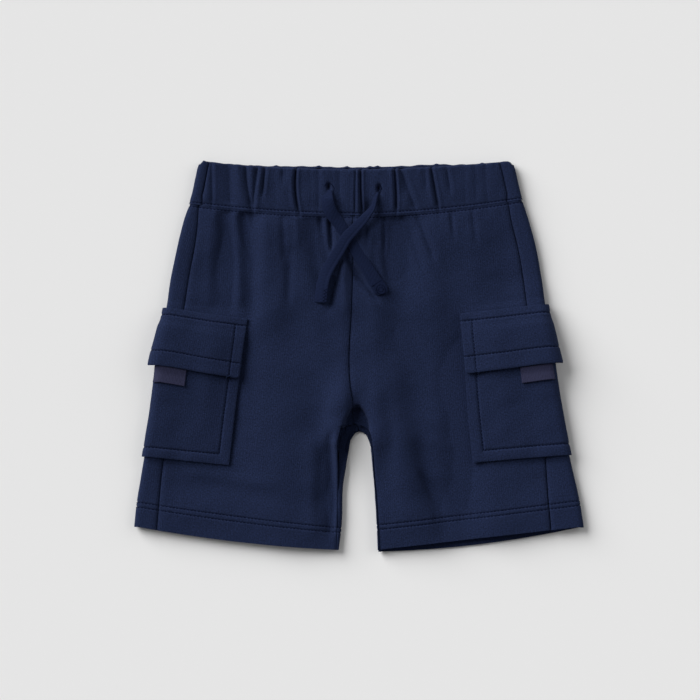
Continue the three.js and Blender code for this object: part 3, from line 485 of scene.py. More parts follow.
def row_height(side, row, out, bow_shift=0.0):
    """The height y of a row at a distance out from the centre line."""
    middle, at_side, bow = (np.interp(row, ROW_NUMBERS, ROWS[side][key]) for key in ("middle", "side", "bow"))
    share = out / column(OUTLINE[side], "edge", at_side)
    return middle + (at_side - middle) * share + (bow + bow_shift) * 4 * share * (1 - share)


def along_lines(lines, x, y):
    """The sum of ridges and troughs along lines, at points x, y."""
    total = np.zeros(np.broadcast(x, y).shape)
    for x1, y1, x2, y2, width, height in lines:
        dx, dy = x2 - x1, y2 - y1
        length = math.hypot(dx, dy)
        on = ((x - x1) * dx + (y - y1) * dy) / length
        aside = ((x - x1) * dy - (y - y1) * dx) / length
        past = np.maximum(0, np.maximum(-on, on - length)) / max(1.6 * width, 7.0)
        total += height * np.exp(-((aside / width) ** 2) - past**2)
    return total


def back_pocket(side, y):
    """The pocket's back edge: as far from the side seam as its front edge."""
    edge, seam, pocket = (column(OUTLINE[side], key, y) for key in ("edge", "seam", "pocket"))
    return 2 * (edge - seam) + pocket


def back_z(side, row, out, y):
    """The height of the back's underside over the table, where a pocket or flap lies under it."""
    edge = back_pocket(side, y)
    return lift("back", row) * smooth(edge - POCKET_SPREAD, edge, out)


def leg_share(y):
    """0 at the hips, 1 down the legs."""
    return 1 - smooth(CROTCH_LEGS, CROTCH_UNDER, y)


def leg_ease(y):
    """The same for the front, where the turn from hip to leg is long and soft."""
    return 1 - smooth(-70, -40, y)


def front_z(side, row, out, y):
    """The height of the front's face over the table."""
    below_band = row_height(side, WAIST_ROW, out) - y
    from_edge = column(OUTLINE[side], "edge", y) - out
    from_inside = out - column(INNER[side], "under", np.minimum(y, -62)) * (1 - smooth(-66, -30, y))
    hem = 1 - smooth(UPPER_STITCH, UPPER_STITCH + 2, row)
    waist = smooth(58, 106, y)
    top = BAND_HEIGHT - 0.2
    flat = FLAT_HEIGHT + (HEM_HEIGHT - FLAT_HEIGHT) * hem
    flat = flat + (top - flat) * waist
    folds = along_lines(FOLDS, SIGN[side] * out, y) * smooth(SIDE_FOLD, INSIDE_SPREAD, from_edge)
    folds = folds * smooth(0, 9, below_band)
    open_z = np.maximum(LEAST_HEIGHT + (HEM_HEIGHT - LEAST_HEIGHT) * hem, flat + folds * (1 - hem / 2))
    near_inside = 1 - smooth(INNER_FOLD, INSIDE_SPREAD, from_inside)
    raised = LEG_HEIGHT + CROTCH_LIFT * np.exp(-(((y + 56) / 17) ** 2))
    at_leg = open_z + (raised - open_z) * leg_ease(y) * near_inside
    at_fold = FOLD_HEIGHT + (top - FOLD_HEIGHT) * waist
    at_edge = at_fold + (at_leg - at_fold) * smooth(SIDE_FOLD, EDGE_SPREAD, from_edge)
    over_pocket = smooth(column(OUTLINE[side], "pocket", y), back_pocket(side, y), out)
    return at_edge + lift("front", row) * over_pocket


# Places along a row: 0 front's inner edge, 1 pocket's edge, 2 side seam, 3 and 4 top and foot of
# the side fold, 5 pocket's back edge, 6 back flat again, 7 foot of the inner fold, 9 inseam.
def skin(side, row, place):
    """Points on the outer face of the leg and hip, in mm, for rows and places along them."""
    row, place = np.broadcast_arrays(np.asarray(row, float), np.asarray(place, float))
    edge_of = lambda key, y: column(OUTLINE[side], key, y)
    i = np.clip(np.floor(place).astype(int), 0, 8)
    t = place - i
    on_back = place > 3
    hanging = np.where(on_back, np.clip(2 * (place - 3), 0, 1) * np.clip(2 * (9 - place), 0, 1), 0)
    shift = BACK_HEM_BOW[side] - ROWS[side]["bow"][HEM_ROW]
    shift = shift * (1 - np.clip(row / (UPPER_STITCH + 2), 0, 1)) * hanging
    y = np.interp(row, ROW_NUMBERS, ROWS[side]["side"])
    for _ in range(9):
        inner_front, inner_under = (column(INNER[side], key, y) for key in ("front", "under"))
        fold, behind = edge_of("edge", y) - SIDE_FOLD, back_pocket(side, y)
        stations = np.stack([
            inner_front + SEAM_GAP / 2, edge_of("pocket", y), edge_of("seam", y), fold, fold, behind,
            behind - POCKET_SPREAD, inner_under + INNER_FOLD, inner_under + INNER_FOLD / 2,
            inner_under + BACK_SEAM_GAP / 2,
        ])
        low = np.take_along_axis(stations, i[None], 0)[0]
        high = np.take_along_axis(stations, i[None] + 1, 0)[0]
        out = low + (high - low) * t
        y = row_height(side, row, out, shift)
    z = np.where(on_back, back_z(side, row, out, y), front_z(side, row, out, y))
    # Round the side, half a turn from the front to the back.
    turn = (0.5 - t) * math.pi
    fold = edge_of("edge", y) - SIDE_FOLD
    top, foot = front_z(side, row, fold, y), back_z(side, row, fold, y)
    round_side = (place > 3) & (place < 4)
    out = np.where(round_side, fold + SIDE_FOLD * np.cos(turn), out)
    z = np.where(round_side, foot + (top - foot) * (1 + np.sin(turn)) / 2, z)
    # Round the inside of the leg, up to the inseam on the front.
    inside = column(INNER[side], "under", y)
    room = CROTCH_ROOM * smooth(-61.0, -57.5, y)
    seam = column(INNER[side], "front", y) - SEAM_GAP / 2 - room
    turn = (place - 8) * math.pi / 2
    reach = np.where(turn < 0, INNER_FOLD, seam - inside)
    full = leg_share(y) * (place > 7)
    out = out + (inside + reach * (1 - np.cos(turn)) - out) * full
    z = z + (front_z(side, row, seam, y) / 2 * (1 + np.sin(turn)) - z) * full
    return np.stack([SIGN[side] * out - SHORTS_CENTRE[0], y - SHORTS_CENTRE[1], z], axis=-1)


def over(side, row, place, height):
    """Points at a height over the skin, along the way it faces."""
    step = 0.004
    d = skin(side, row, place + step) - skin(side, row, place - step)
    length = np.hypot(d[..., 0], d[..., 2])
    facing = np.stack([-d[..., 2], np.zeros_like(length), d[..., 0]], axis=-1) / length[..., None]
    return skin(side, row, place) + facing * (SIGN[side] * height)[..., None]


def unevenness(x, y, length, seed):
    """A soft random swell between -1 and 1, with waves about length mm long."""
    pick = random.Random(seed)
    total = 0
    for _ in range(7):
        angle, phase = pick.uniform(0, math.pi), pick.uniform(0, 2 * math.pi)
        wave = 2 * math.pi / (length * pick.uniform(0.7, 1.5))
        total = total + np.sin(wave * (x * math.cos(angle) + y * math.sin(angle)) + phase)
    return total / 4


def sewn(distance, depth=0.5, width=0.6):
    """How far cloth is drawn in at a distance from a line of stitching."""
    return depth * np.exp(-((distance / width) ** 2))


def seam_edge(distance, depth=0.8, width=1.1):
    """How far an edge rolls down into its seam."""
    return depth * np.exp(-np.maximum(distance, 0) / width)


def finer(stops, step, lines=(), spread=(0.3, 0.6, 1.0, 1.6)):
    """Stops from the first to the last, step apart, with closer ones on each side of the lines."""
    even = np.linspace(stops[0], stops[1], max(2, round((stops[1] - stops[0]) / step) + 1))
    close = [line + s * k for line in lines for k in (0, *spread) for s in (-1, 1)]
    every = np.unique(np.round([*even, *[c for c in close if stops[0] < c < stops[1]]], 3))
    keep = np.r_[True, np.diff(every) > 0.12]
    keep[-1] = True
    return every[keep]


def rows_at(side, heights):
    """The rows at heights y on the middle line."""
    return np.interp(heights, ROWS[side]["middle"], ROW_NUMBERS)


def middle_height(side, row):
    """The height y of rows on the middle line."""
    return np.interp(row, ROW_NUMBERS, ROWS[side]["middle"])


def sewn_lines(side):
    """Heights on the middle line of the hem, its two rows of stitching and the row below the band."""
    middle = ROWS[side]["middle"]
    return [middle[LOWER_STITCH], middle[UPPER_STITCH], middle[WAIST_ROW] - SEAM_STITCH, middle[HEM_ROW]]


def underneath(place):
    """0 on top, 1 under the shorts, with a soft turn round the side fold."""
    return smooth(3.2, 4.0, place)


def thickened(sheet, thickness, rounding=0.35):
    """Gives a sheet its thickness on the inner side, rounds its cut edges and smooths it."""
    solid = sheet.modifiers.new("thickness", "SOLIDIFY")
    solid.thickness = thickness * MM
    solid.offset = -1
    bevel = sheet.modifiers.new("soft_edges", "BEVEL")
    bevel.width = rounding * MM
    bevel.segments = 2
    bevel.limit_method = "ANGLE"
    bevel.angle_limit = math.radians(60)
    bpy.ops.object.select_all(action="DESELECT")
    sheet.select_set(True)
    bpy.context.view_layer.objects.active = sheet
    for name in ("thickness", "soft_edges"):
        bpy.ops.object.modifier_apply(modifier=name)
    bpy.ops.object.shade_smooth()
    return sheet


# Brushed fleece: a dense navy knit with a soft matt face, so that light spreads evenly and only
# folds and sewing show. The wales are 0.9 mm apart and are drawn 1.6 mm apart to show at all.
fleece = new_material("brushed_navy_fleece")
fleece_place = add_node(fleece, "ShaderNodeUVMap", uv_map="UVMap").outputs[0]
fleece_patches = add_grains(fleece, fleece_place, 820.0, 5.0)
fleece_fibres = add_grains(fleece, fleece_place, 1300.0, 4.0, 0.7)
fleece_wales = add_rows(fleece, fleece_place, 1.60285, 2.2, 2.0, 3.0)
fleece_mottle = add_math(fleece, "MULTIPLY", fleece_patches, fleece_fibres)
fleece_shade = add_node(
    fleece, "ShaderNodeMapRange", {"Value": fleece_mottle, "From Min": 0.1, "From Max": 0.42}
)
fleece_tone = add_tone(fleece, fleece_shade.outputs[0], "#0b1224", "#1f2a4a")
fleece_height = add_math(fleece, "ADD", fleece_fibres, add_math(fleece, "MULTIPLY", fleece_wales, 0.35))
fleece_bump = add_bump(fleece, fleece_height, 0.55, 0.3)
fleece_sheen = {"Sheen Weight": 0.04, "Sheen Roughness": 0.6, "Sheen Tint": linear("#8aa0d8")}
add_shader(fleece, fleece_tone, 0.95, 0.12, {"Normal": fleece_bump, **fleece_sheen})

# Sewing thread: navy polyester, spun and matt, a shade darker than the cloth that it sinks into.
thread = new_material("spun_polyester_thread")
thread_place = add_node(thread, "ShaderNodeTexCoord").outputs["Object"]
thread_tone = add_tone(thread, add_grains(thread, thread_place, 1500.0), "#04081a", "#0a1029")
add_shader(thread, thread_tone, 0.9, 0.05)

# Stitches, in mm: from one to the next, then each one's length, width and height.
STITCH = (2.7, 1.9, 0.9, 0.6)

# One stitch: a short bead of thread, copied along every sewn line.
bpy.ops.object.select_all(action="DESELECT")
bpy.ops.mesh.primitive_uv_sphere_add(segments=6, ring_count=5, radius=0.5)
bead = bpy.context.object
bead_points = np.array([v.co[:] for v in bead.data.vertices])[:, [2, 0, 1]]
bead_faces = [tuple(f.vertices) for f in bead.data.polygons]
bpy.data.objects.remove(bead)


def stitches(name, runs, material=None):
    """A piece of sewing. Each run is points in mm, the way the cloth faces, and the stitch's size."""
    points, faces = [], []
    for path, facing, (pitch, length, width, height) in runs:
        run = np.r_[0, np.cumsum(np.linalg.norm(np.diff(path, axis=0), axis=1))]
        centres = np.arange(pitch / 2, run[-1], pitch)
        at = lambda values, s: np.stack([np.interp(s, run, values[:, k]) for k in range(3)], axis=1)
        middle, up = at(path, centres), at(facing, centres)
        ahead = at(path, centres + 0.6) - at(path, centres - 0.6)
        ahead /= np.maximum(np.linalg.norm(ahead, axis=1, keepdims=True), 1e-9)
        aside = np.cross(up, ahead)
        for c, a, b, n in zip(middle, ahead, aside, up):
            first = len(points) * len(bead_points)
            along, wide, high = bead_points[:, :1], bead_points[:, 1:2], bead_points[:, 2:]
            points.append(c + along * length * a + wide * width * b + high * height * n)
            faces += [tuple(first + k for k in face) for face in bead_faces]
    mesh = bpy.data.meshes.new(name)
    mesh.from_pydata((np.vstack(points) * MM).tolist(), [], faces)
    mesh.materials.append(material or thread)
    mesh.shade_smooth()
    made = bpy.data.objects.new(name, mesh)
    bpy.context.scene.collection.objects.link(made)
    bpy.ops.object.select_all(action="DESELECT")
    made.select_set(True)
    bpy.context.view_layer.objects.active = made
    bpy.ops.object.mode_set(mode="EDIT")
    bpy.ops.mesh.select_all(action="SELECT")
    bpy.ops.mesh.normals_make_consistent(inside=False)
    bpy.ops.object.mode_set(mode="OBJECT")
    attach(made, "root")
    return made


def run_on(surface, side, rows, places, size=STITCH):
    """A run of stitches on a surface, through rows and places along it."""
    rows, places = np.broadcast_arrays(np.asarray(rows, float), np.asarray(places, float))
    step = 0.01
    ahead = surface(side, rows + step, places) - surface(side, rows - step, places)
    across = surface(side, rows, places + step) - surface(side, rows, places - step)
    facing = np.cross(across, ahead) * SIGN[side]
    facing /= np.linalg.norm(facing, axis=-1, keepdims=True)
    return surface(side, rows, places), facing, size


# Gathers of the waistband: x at its top and at its foot, how far they bend between, the share
# of its height where they begin, and their width and depth, in mm.
BAND_GATHERS = [
    (-110.2, -109.8, 0.0, 0.0, 1.1, 1.2), (-97, -96, 0.0, 0.0, 4.6, 2.2), (-84.6, -80.2, -0.8, 0.0, 1.7, 2.8),
    (-75.8, -79.0, -0.6, 0.0, 1.2, 1.9), (-70.3, -73.4, 0.0, 0.45, 1.0, 2.2), (-63, -62, 0.0, 0.0, 2.6, 0.4),
    (-57, -57, 0.0, 0.82, 1.2, 1.3), (-54.6, -54.6, 0.0, 0.85, 0.9, 1.0), (-47.0, -44.4, -1.6, 0.0, 0.8, 3.2),
    (-36, -36, 0.0, 0.0, 2.8, 0.4), (-30, -30, 0.0, 0.0, 1.8, 0.8), (-14, -15, 0.0, 0.2, 2.2, 0.9),
    (-2.4, -3.0, 0.0, 0.0, 0.5, 1.2), (1.5, 2.6, -0.4, 0.0, 0.7, 2.8), (8, 7, 0.0, 0.0, 2.2, 0.4),
    (26.9, 28.1, 0.5, 0.0, 0.8, 2.9), (33.5, 35.5, 0.0, 0.5, 3.0, 1.0), (31.5, 43.5, 0.0, 0.0, 1.5, 1.8),
    (50, 51, 0.0, 0.6, 1.3, 0.9), (54.3, 60.0, 0.0, 0.0, 0.95, 2.8), (65.8, 70.5, 0.0, 0.5, 1.2, 1.3),
    (79, 80, 0.0, 0.0, 2.2, 0.5), (87, 88, 0.0, 0.0, 1.8, 0.5), (94, 97, 0.0, 0.0, 2.2, 0.6),
]
# A deep dimple at the band's foot beside the crossing drawstring: x, share of the height, sizes.
BAND_DIMPLE = {"x": 7.0, "share": 0.12, "wide": 4.6, "high": 0.2, "deep": 3.2}
# The same under the back, where the elastic draws evenly.
BACK_GATHERS = [
    (
        x + 2.5 * math.sin(3.7 * x), x, 0.6 * math.sin(x), 0.0,
        1.6 + 0.5 * math.sin(1.9 * x), 1.0 + 0.4 * math.sin(2.4 * x),
    )
    for x in np.linspace(-110, 106, 30)
]


def gather(x, share, gathers):
    """How far the gathers draw the band in at x, and at a share of its height."""
    dimple = np.exp(
        -(((x - BAND_DIMPLE["x"]) / BAND_DIMPLE["wide"]) ** 2)
        - ((share - BAND_DIMPLE["share"]) / BAND_DIMPLE["high"]) ** 2
    )
    total = BAND_DIMPLE["deep"] * dimple if gathers is BAND_GATHERS else 0
    for top, foot, bend, begin, width, depth in gathers:
        line = foot + (top - foot) * share + bend * 4 * share * (1 - share)
        away = (x - line) / width
        # One side of a crease is steep and the other rolls over softly.
        away = np.abs(away) * np.where(away < 0, 0.75, 1.15)
        there = smooth(begin - 0.25, begin + 0.1, share) if begin else 0.35 + 0.65 * smooth(0.03, 0.2, share)
        total = total + depth * there * (np.exp(-(away**1.4)) - 0.22 * np.exp(-((away - 3) ** 2) / 2))
    return total


def front_relief(side, row, place):
    """How far the front's face stands out from its plain form."""
    at = skin(side, row, place)
    x, y = at[..., 0] + SHORTS_CENTRE[0], at[..., 1] + SHORTS_CENTRE[1]
    out = x * SIGN[side]
    below_band = row_height(side, WAIST_ROW, out) - y
    # The cloth is bowed up a little over the air inside, away from its edges and from what lies on it.
    beside = column(OUTLINE[side], "pocket", y) - out
    bowed = smooth(2, 24, beside) * (1 - smooth(64, 96, y)) * smooth(4, 6, row)
    bowed = bowed * smooth(-2, 14, out - leg_ease(y) * 16)
    off_band = smooth(0.3, 4.5, below_band)
    rise = 1.5 * bowed + 2.0 * along_lines(CREASES, x, y) * off_band
    rise = rise + 1.1 * along_lines(FOLDS, x, y) * (1 - smooth(90, 104, y))
    rise = rise - gather(x, 0.0 * y, BAND_GATHERS) * np.exp(-below_band / 6)
    rise = rise + 0.3 * unevenness(x, y * 0.3, 8, 3) * np.exp(-below_band / 14) * off_band
    rise = rise + (0.45 * unevenness(x, y, 36, 5) + 0.12 * unevenness(x, y, 12, 8)) * off_band
    # The stacks of the pocket and flap press the cloth down beside them.
    rise = rise - 0.8 * np.exp(-((beside / 6) ** 2)) * smooth(6.5, 8, row) * (1 - smooth(17, 19, row))
    for line in (LOWER_STITCH, UPPER_STITCH):
        from_line = y - row_height(side, line, out)
        rise = rise - sewn(from_line, 0.55)
        rise = rise + 0.14 * unevenness(x, y * 0.2, 5, 12 + line) * sewn(from_line, 1, 4)
    rise = rise - sewn(below_band - SEAM_STITCH, 0.4)
    rise = rise - seam_edge(out - column(INNER[side], "front", y), 0.9, 1.2)
    rise = rise - seam_edge(column(OUTLINE[side], "seam", y) - out, 1.6, 1.2)
    lowest = LEAST_HEIGHT - 0.3 - at[..., 2]
    return np.maximum(rise + hollow_rise(x, y), np.minimum(lowest, -0.6))


def front_surface(side, row, place):
    """The front's face with its relief."""
    return over(side, row, place, front_relief(side, row, place))


# Behind the waistband seam the panel turns in and runs up a little way: how far up, how far in.
ALLOWANCE = [(0.1, 0.35), (0.2, 0.9), (0.35, 1.45), (1.2, 1.55), (2.6, 1.6), (4.0, 1.6)]


def with_allowance(side, places, relief, points):
    """Adds the seam allowance above the top row of a panel's points."""
    at_seam = relief(side, np.full_like(places, WAIST_ROW), places)
    turned = [over(side, WAIST_ROW, places, at_seam - drop) + [0, up, 0] for up, drop in ALLOWANCE]
    return np.concatenate([points, np.stack(turned)])


def front_places(side, step):
    """Places across a front panel, a step in mm apart, and closer at both its seams."""
    inner, pocket, seam = (
        float(column(table_of[side], key, 0.0))
        for table_of, key in ((INNER, "front"), (OUTLINE, "pocket"), (OUTLINE, "seam"))
    )
    return np.interp(finer((inner, seam), step, (inner, seam)), [inner, pocket, seam], [0, 1, 2])


# Where the rows of stitching run, as places across a front panel.
STITCHED_FRONT = np.linspace(0.02, 1.98, 200)

for side in ("right", "left"):
    middle = ROWS[side]["middle"]
    rows = rows_at(side, finer((middle[HEM_ROW], middle[WAIST_ROW]), 1.5, [*sewn_lines(side), *CROTCH_LINES]))
    places = front_places(side, 1.3)
    # Front and back stop just short of each other at the side seam.
    places[-1] -= 0.003
    points = front_surface(side, rows[:, None], places[None, OUTWARD[side]])
    points = with_allowance(side, places[OUTWARD[side]], front_relief, points)
    panel = thickened(cloth_grid(f"front_panel_{side}", points, laid_out(points), fleece), CLOTH)
    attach(panel, "root")
    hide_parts(f"front_{side}")
    stitches(
        f"front_hem_stitching_{side}",
        [run_on(front_surface, side, line, STITCHED_FRONT) for line in (LOWER_STITCH, UPPER_STITCH)],
    )

# Back panels: one for each leg. Each runs from the side seam round the side and under the shorts
# to the centre back seam, and on the leg it turns up round the inside to the inseam.
# Places by their distance round the leg, in mm, from the side seam to the inseam.
BACK_PLACES = {"walked": [0, 12, 23, 58, 65, 160, 171], "place": [2, 3, 4, 5, 6, 7, 9]}
# Heights below the crotch where closer rows follow the turn from hip to leg.
BACK_CROTCH_LINES = (-57, -58.4, -60.5)


def back_places(walked):
    """Places at distances round the leg."""
    return np.interp(walked, BACK_PLACES["walked"], BACK_PLACES["place"])


def back_relief(side, row, place):
    """How far the back's face stands out. Beneath, it only draws in, so that it still rests flat."""
    at = skin(side, row, place)
    x, y = at[..., 0] + SHORTS_CENTRE[0], at[..., 1] + SHORTS_CENTRE[1]
    out = x * SIGN[side]
    below_band = row_height(side, WAIST_ROW, out) - y
    under = underneath(place) * (1 - smooth(7, 7.6, place) * leg_share(y))
    soft = 0.22 * unevenness(x, y, 30, 21) + 0.07 * unevenness(x, y, 10, 22)
    rise = soft * (1 - under) - (0.25 + soft) * under * 0.8
    rise = rise - (0.3 + 0.3 * unevenness(x, y * 0.15, 7, 25)) * np.exp(-below_band / 10) * (place > 3)
    for line in (LOWER_STITCH, UPPER_STITCH):
        rise = rise - sewn(y - row_height(side, line, out), 0.5)
    rise = rise - sewn(below_band - SEAM_STITCH, 0.5)
    on_top = place < 3
    rise = rise - np.where(on_top, seam_edge(out - column(OUTLINE[side], "seam", y), 1.6, 1.2), 0)
    to_inner = np.where(place > 7, (9 - place) * INNER_FOLD / 2, 9)
    at_crotch = np.exp(-(((y + 58) / 5) ** 4))
    return rise * (1 - at_crotch * (place > 7)) - seam_edge(to_inner) * (1 - at_crotch)


def back_surface(side, row, place):
    points = over(side, row, place, back_relief(side, row, place))
    # Just below the crotch the strip inside each leg lies low, in the shade of the front's edge.
    near = np.exp(-(np.maximum(0, np.abs(points[..., 1] + SHORTS_CENTRE[1] + 63) - 6) / 9) ** 2)
    points[..., 2] *= 1 - 0.75 * near * smooth(7.2, 8.2, place)
    # The table holds the underside flat, and the strip keeps its own thickness over the table.
    points[..., 2] = np.maximum(points[..., 2], 0.05 + CLOTH * smooth(7.0, 7.8, place))
    return points


def back_thread_line(side, row, place):
    """The same surface for the hem's stitches, which stay just inside it under the shorts."""
    points = back_surface(side, row, place)
    points[..., 2] = np.maximum(points[..., 2], 0.3)
    return points


# Where the rows of stitching run, as places round a back panel.
STITCHED_BACK = back_places(np.linspace(0.5, 170.5, 300))

for side in ("right", "left"):
    middle = ROWS[side]["middle"]
    close_lines = [*sewn_lines(side), *BACK_CROTCH_LINES]
    rows = rows_at(side, finer((middle[HEM_ROW], middle[WAIST_ROW]), 2.2, close_lines))
    places = back_places(finer((0, 171), 1.9, (0, 171)))
    places[0] += 0.015
    points = back_surface(side, rows[:, None], places[None, OUTWARD[side]])
    points = with_allowance(side, places[OUTWARD[side]], back_relief, points)
    panel = thickened(cloth_grid(f"back_panel_{side}", points, laid_out(points), fleece), CLOTH)
    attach(panel, "root")
    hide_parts(f"back_{side}")
    stitches(
        f"back_hem_stitching_{side}",
        [run_on(back_thread_line, side, line, STITCHED_BACK) for line in (LOWER_STITCH, UPPER_STITCH)],
    )

# Cargo pockets: a plain patch of fleece wrapped round each side, sewn down 8 mm inside its inner,
# lower and back edges. Its mouth lies under the flap.
POCKET_BORDER = 8.0
# Places by their distance round the side, in mm, from the pocket's front edge to its back edge.
POCKET_PLACES = {"walked": [0, 48, 60, 71, 106], "place": [1, 2, 3, 4, 5]}
POCKET_END = POCKET_PLACES["walked"][-1]


def pocket_places(walked):
    """Places at distances round the side."""
    return np.interp(walked, POCKET_PLACES["walked"], POCKET_PLACES["place"])


def from_pocket_end(place):
    """Distances in mm from the pocket's front or back edge, whichever is nearer."""
    walked = np.interp(place, POCKET_PLACES["place"], POCKET_PLACES["walked"])
    return np.minimum(walked, POCKET_END - walked)


def pocket_surface(side, row, place):
    """The pocket's outer face, swelling a little and drawn in along its stitching."""
    row, place = np.broadcast_arrays(np.asarray(row, float), np.asarray(place, float))
    from_foot = middle_height(side, row) - ROWS[side]["middle"][POCKET_FOOT]
    nearest = np.minimum(from_pocket_end(place), from_foot)
    at = skin(side, row, place)
    rise = 0.35 * np.sin(math.pi * np.clip(nearest / POCKET_BORDER, 0, 1))
    rise = rise + 0.5 * smooth(POCKET_BORDER, POCKET_BORDER + 18, nearest)
    rise = rise + 0.22 * unevenness(at[..., 0], at[..., 1], 22, 31)
    rise = rise - sewn(nearest - POCKET_BORDER, 0.75, 0.75)
    beneath = underneath(place)
    rise = rise * (1 - beneath) - sewn(nearest - POCKET_BORDER, 0.3) * beneath
    return over(side, row, place, SEAM_GAP + CLOTH + rise)


for side in ("right", "left"):
    foot, mouth = (ROWS[side]["middle"][row] for row in (POCKET_FOOT, POCKET_MOUTH))
    rows = rows_at(side, finer((foot, mouth), 1.5, (foot + POCKET_BORDER,)))
    borders = (POCKET_BORDER, POCKET_END - POCKET_BORDER)
    places = pocket_places(finer((0, POCKET_END), 1.4, borders))
    points = pocket_surface(side, rows[:, None], places[None, OUTWARD[side]])
    patch = thickened(cloth_grid(f"pocket_patch_{side}", points, laid_out(points), fleece), CLOTH)
    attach(patch, "root")
    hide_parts(f"pocket_{side}")
    border_row = float(rows_at(side, foot + POCKET_BORDER))
    first, last = pocket_places(borders)
    upward = np.linspace(border_row, POCKET_MOUTH, 80)
    stitches(
        f"pocket_stitching_{side}",
        [
            run_on(pocket_surface, side, border_row, np.linspace(first, last, 160)),
            run_on(pocket_surface, side, upward, first),
            run_on(pocket_surface, side, upward, last),
        ],
    )

# Pocket flaps: two layers of fleece turned and pressed, sewn on above each pocket 6.5 mm below
# the top edge, with a second row across and one down each end. They wrap round the side too.
FLAP_THICK = 2.4
FLAP_TOP_ROW, FLAP_LOWER_ROW, FLAP_END_ROW = 6.5, 13.0, 8.7
FLAP_CORNER = 3.5
FLAP_FLARE = 2.6


def flap_heights(side):
    """Heights y of the flap's foot and top on the middle line."""
    middle = ROWS[side]["middle"]
    return middle[FLAP_FOOT], middle[FLAP_TOP]


def flap_surface(side, row, place):
    """The flap's outer face, over the pocket and drawn in along its rows of stitching."""
    row, place = np.broadcast_arrays(np.asarray(row, float), np.asarray(place, float))
    foot, top = flap_heights(side)
    height = middle_height(side, row)
    from_foot, from_top, from_end = height - foot, top - height, from_pocket_end(place)
    lines = [from_top - FLAP_TOP_ROW, from_foot - FLAP_LOWER_ROW, from_end - FLAP_END_ROW]
    at = skin(side, row, place)
    rise = 0.3 + 0.2 * unevenness(at[..., 0], at[..., 1], 20, 41)
    down_end = smooth(-0.5, 1.0, lines[0])
    rise = rise - sewn(lines[0], 0.8, 0.8) - sewn(lines[1], 0.7, 0.75) - sewn(lines[2], 0.7, 0.75) * down_end
    nearest = np.minimum(np.minimum(from_top, from_foot), from_end)
    rise = rise - 0.5 * np.exp(-np.maximum(nearest, 0) / 0.9)
    beneath = underneath(place)
    rise = rise * (1 - beneath) - sum(sewn(line, 0.3) for line in lines) * beneath
    rise = rise + 0.7 * np.exp(-np.maximum(from_foot, 0) / 7) * (1 - beneath)
    # The flap bridges the pocket's mouth softly on top and round the side, and closely beneath.
    soft_step = smooth(POCKET_MOUTH - 0.8, FLAP_TOP, row)
    close_step = smooth(POCKET_MOUTH, POCKET_MOUTH + 1, row)
    under = SEAM_GAP + POCKET_STEP * (1 - soft_step * (1 - beneath) - close_step * beneath)
    points = over(side, row, place, under + FLAP_THICK + rise)
    # At the side its lower edge stands out a little.
    at_side = smooth(2.2, 3.0, place) * (1 - smooth(4.0, 4.6, place))
    low_down = 1 - smooth(0, 0.75, from_foot / (top - foot))
    points[..., 0] += SIGN[side] * FLAP_FLARE * at_side * low_down
    return points


for side in ("right", "left"):
    foot, top = flap_heights(side)
    rows = rows_at(side, finer((foot, top), 1.2, (foot + FLAP_LOWER_ROW, top - FLAP_TOP_ROW)))
    end_rows = (FLAP_END_ROW, POCKET_END - FLAP_END_ROW)
    stops = finer((0, POCKET_END), 1.4, end_rows)
    # The two lower corners are rounded: near the foot the ends draw in.
    short = np.clip(FLAP_CORNER - (middle_height(side, rows) - foot), 0, FLAP_CORNER)
    drawn_in = FLAP_CORNER - np.sqrt(FLAP_CORNER**2 - short**2)
    shrunk = POCKET_END / 2 + (stops - POCKET_END / 2)[None] * (1 - 2 * drawn_in / POCKET_END)[:, None]
    places = pocket_places(shrunk)
    points = flap_surface(side, rows[:, None], places[:, OUTWARD[side]])
    flap = thickened(cloth_grid(f"pocket_flap_{side}", points, laid_out(points), fleece), FLAP_THICK, 0.6)
    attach(flap, "root")
    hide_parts(f"flap_{side}")
    first, last = pocket_places(end_rows)
    across = np.linspace(1.05, 4.95, 160)
    upward = rows_at(side, np.linspace(foot + 1, top - FLAP_TOP_ROW, 60))
    stitches(
        f"flap_stitching_{side}",
        [
            run_on(flap_surface, side, float(rows_at(side, top - FLAP_TOP_ROW)), across),
            run_on(flap_surface, side, float(rows_at(side, foot + FLAP_LOWER_ROW)), across),
            run_on(flap_surface, side, upward, first),
            run_on(flap_surface, side, upward, last),
        ],
    )

# Pulls: a short doubled end of plain dull purple twill tape, caught under each flap's edge. Each
# runs between two distances out from the centre line, and hangs so far below the flap's edge.
TAPE_THICK = 1.4
TAPES = {"right": (128.6, 150.8, 12.6), "left": (120.2, 143.0, 12.2)}

# Twill tape: tightly woven cotton in a dull purple, with an uneven rib. The ribs are 0.7 mm
# apart and are drawn 1 mm apart to show.
tape = new_material("woven_cotton_twill_tape")
tape_place = add_node(tape, "ShaderNodeUVMap", uv_map="UVMap").outputs[0]
tape_rib = add_rows(tape, tape_place, 1.0472, 5.0, 3.0, 2.0)
tape_tone = add_tone(tape, tape_rib, "#1b1c34", "#282a47")
add_shader(tape, tape_tone, 0.8, 0.25, {"Normal": add_bump(tape, tape_rib, 0.5, 0.2)})

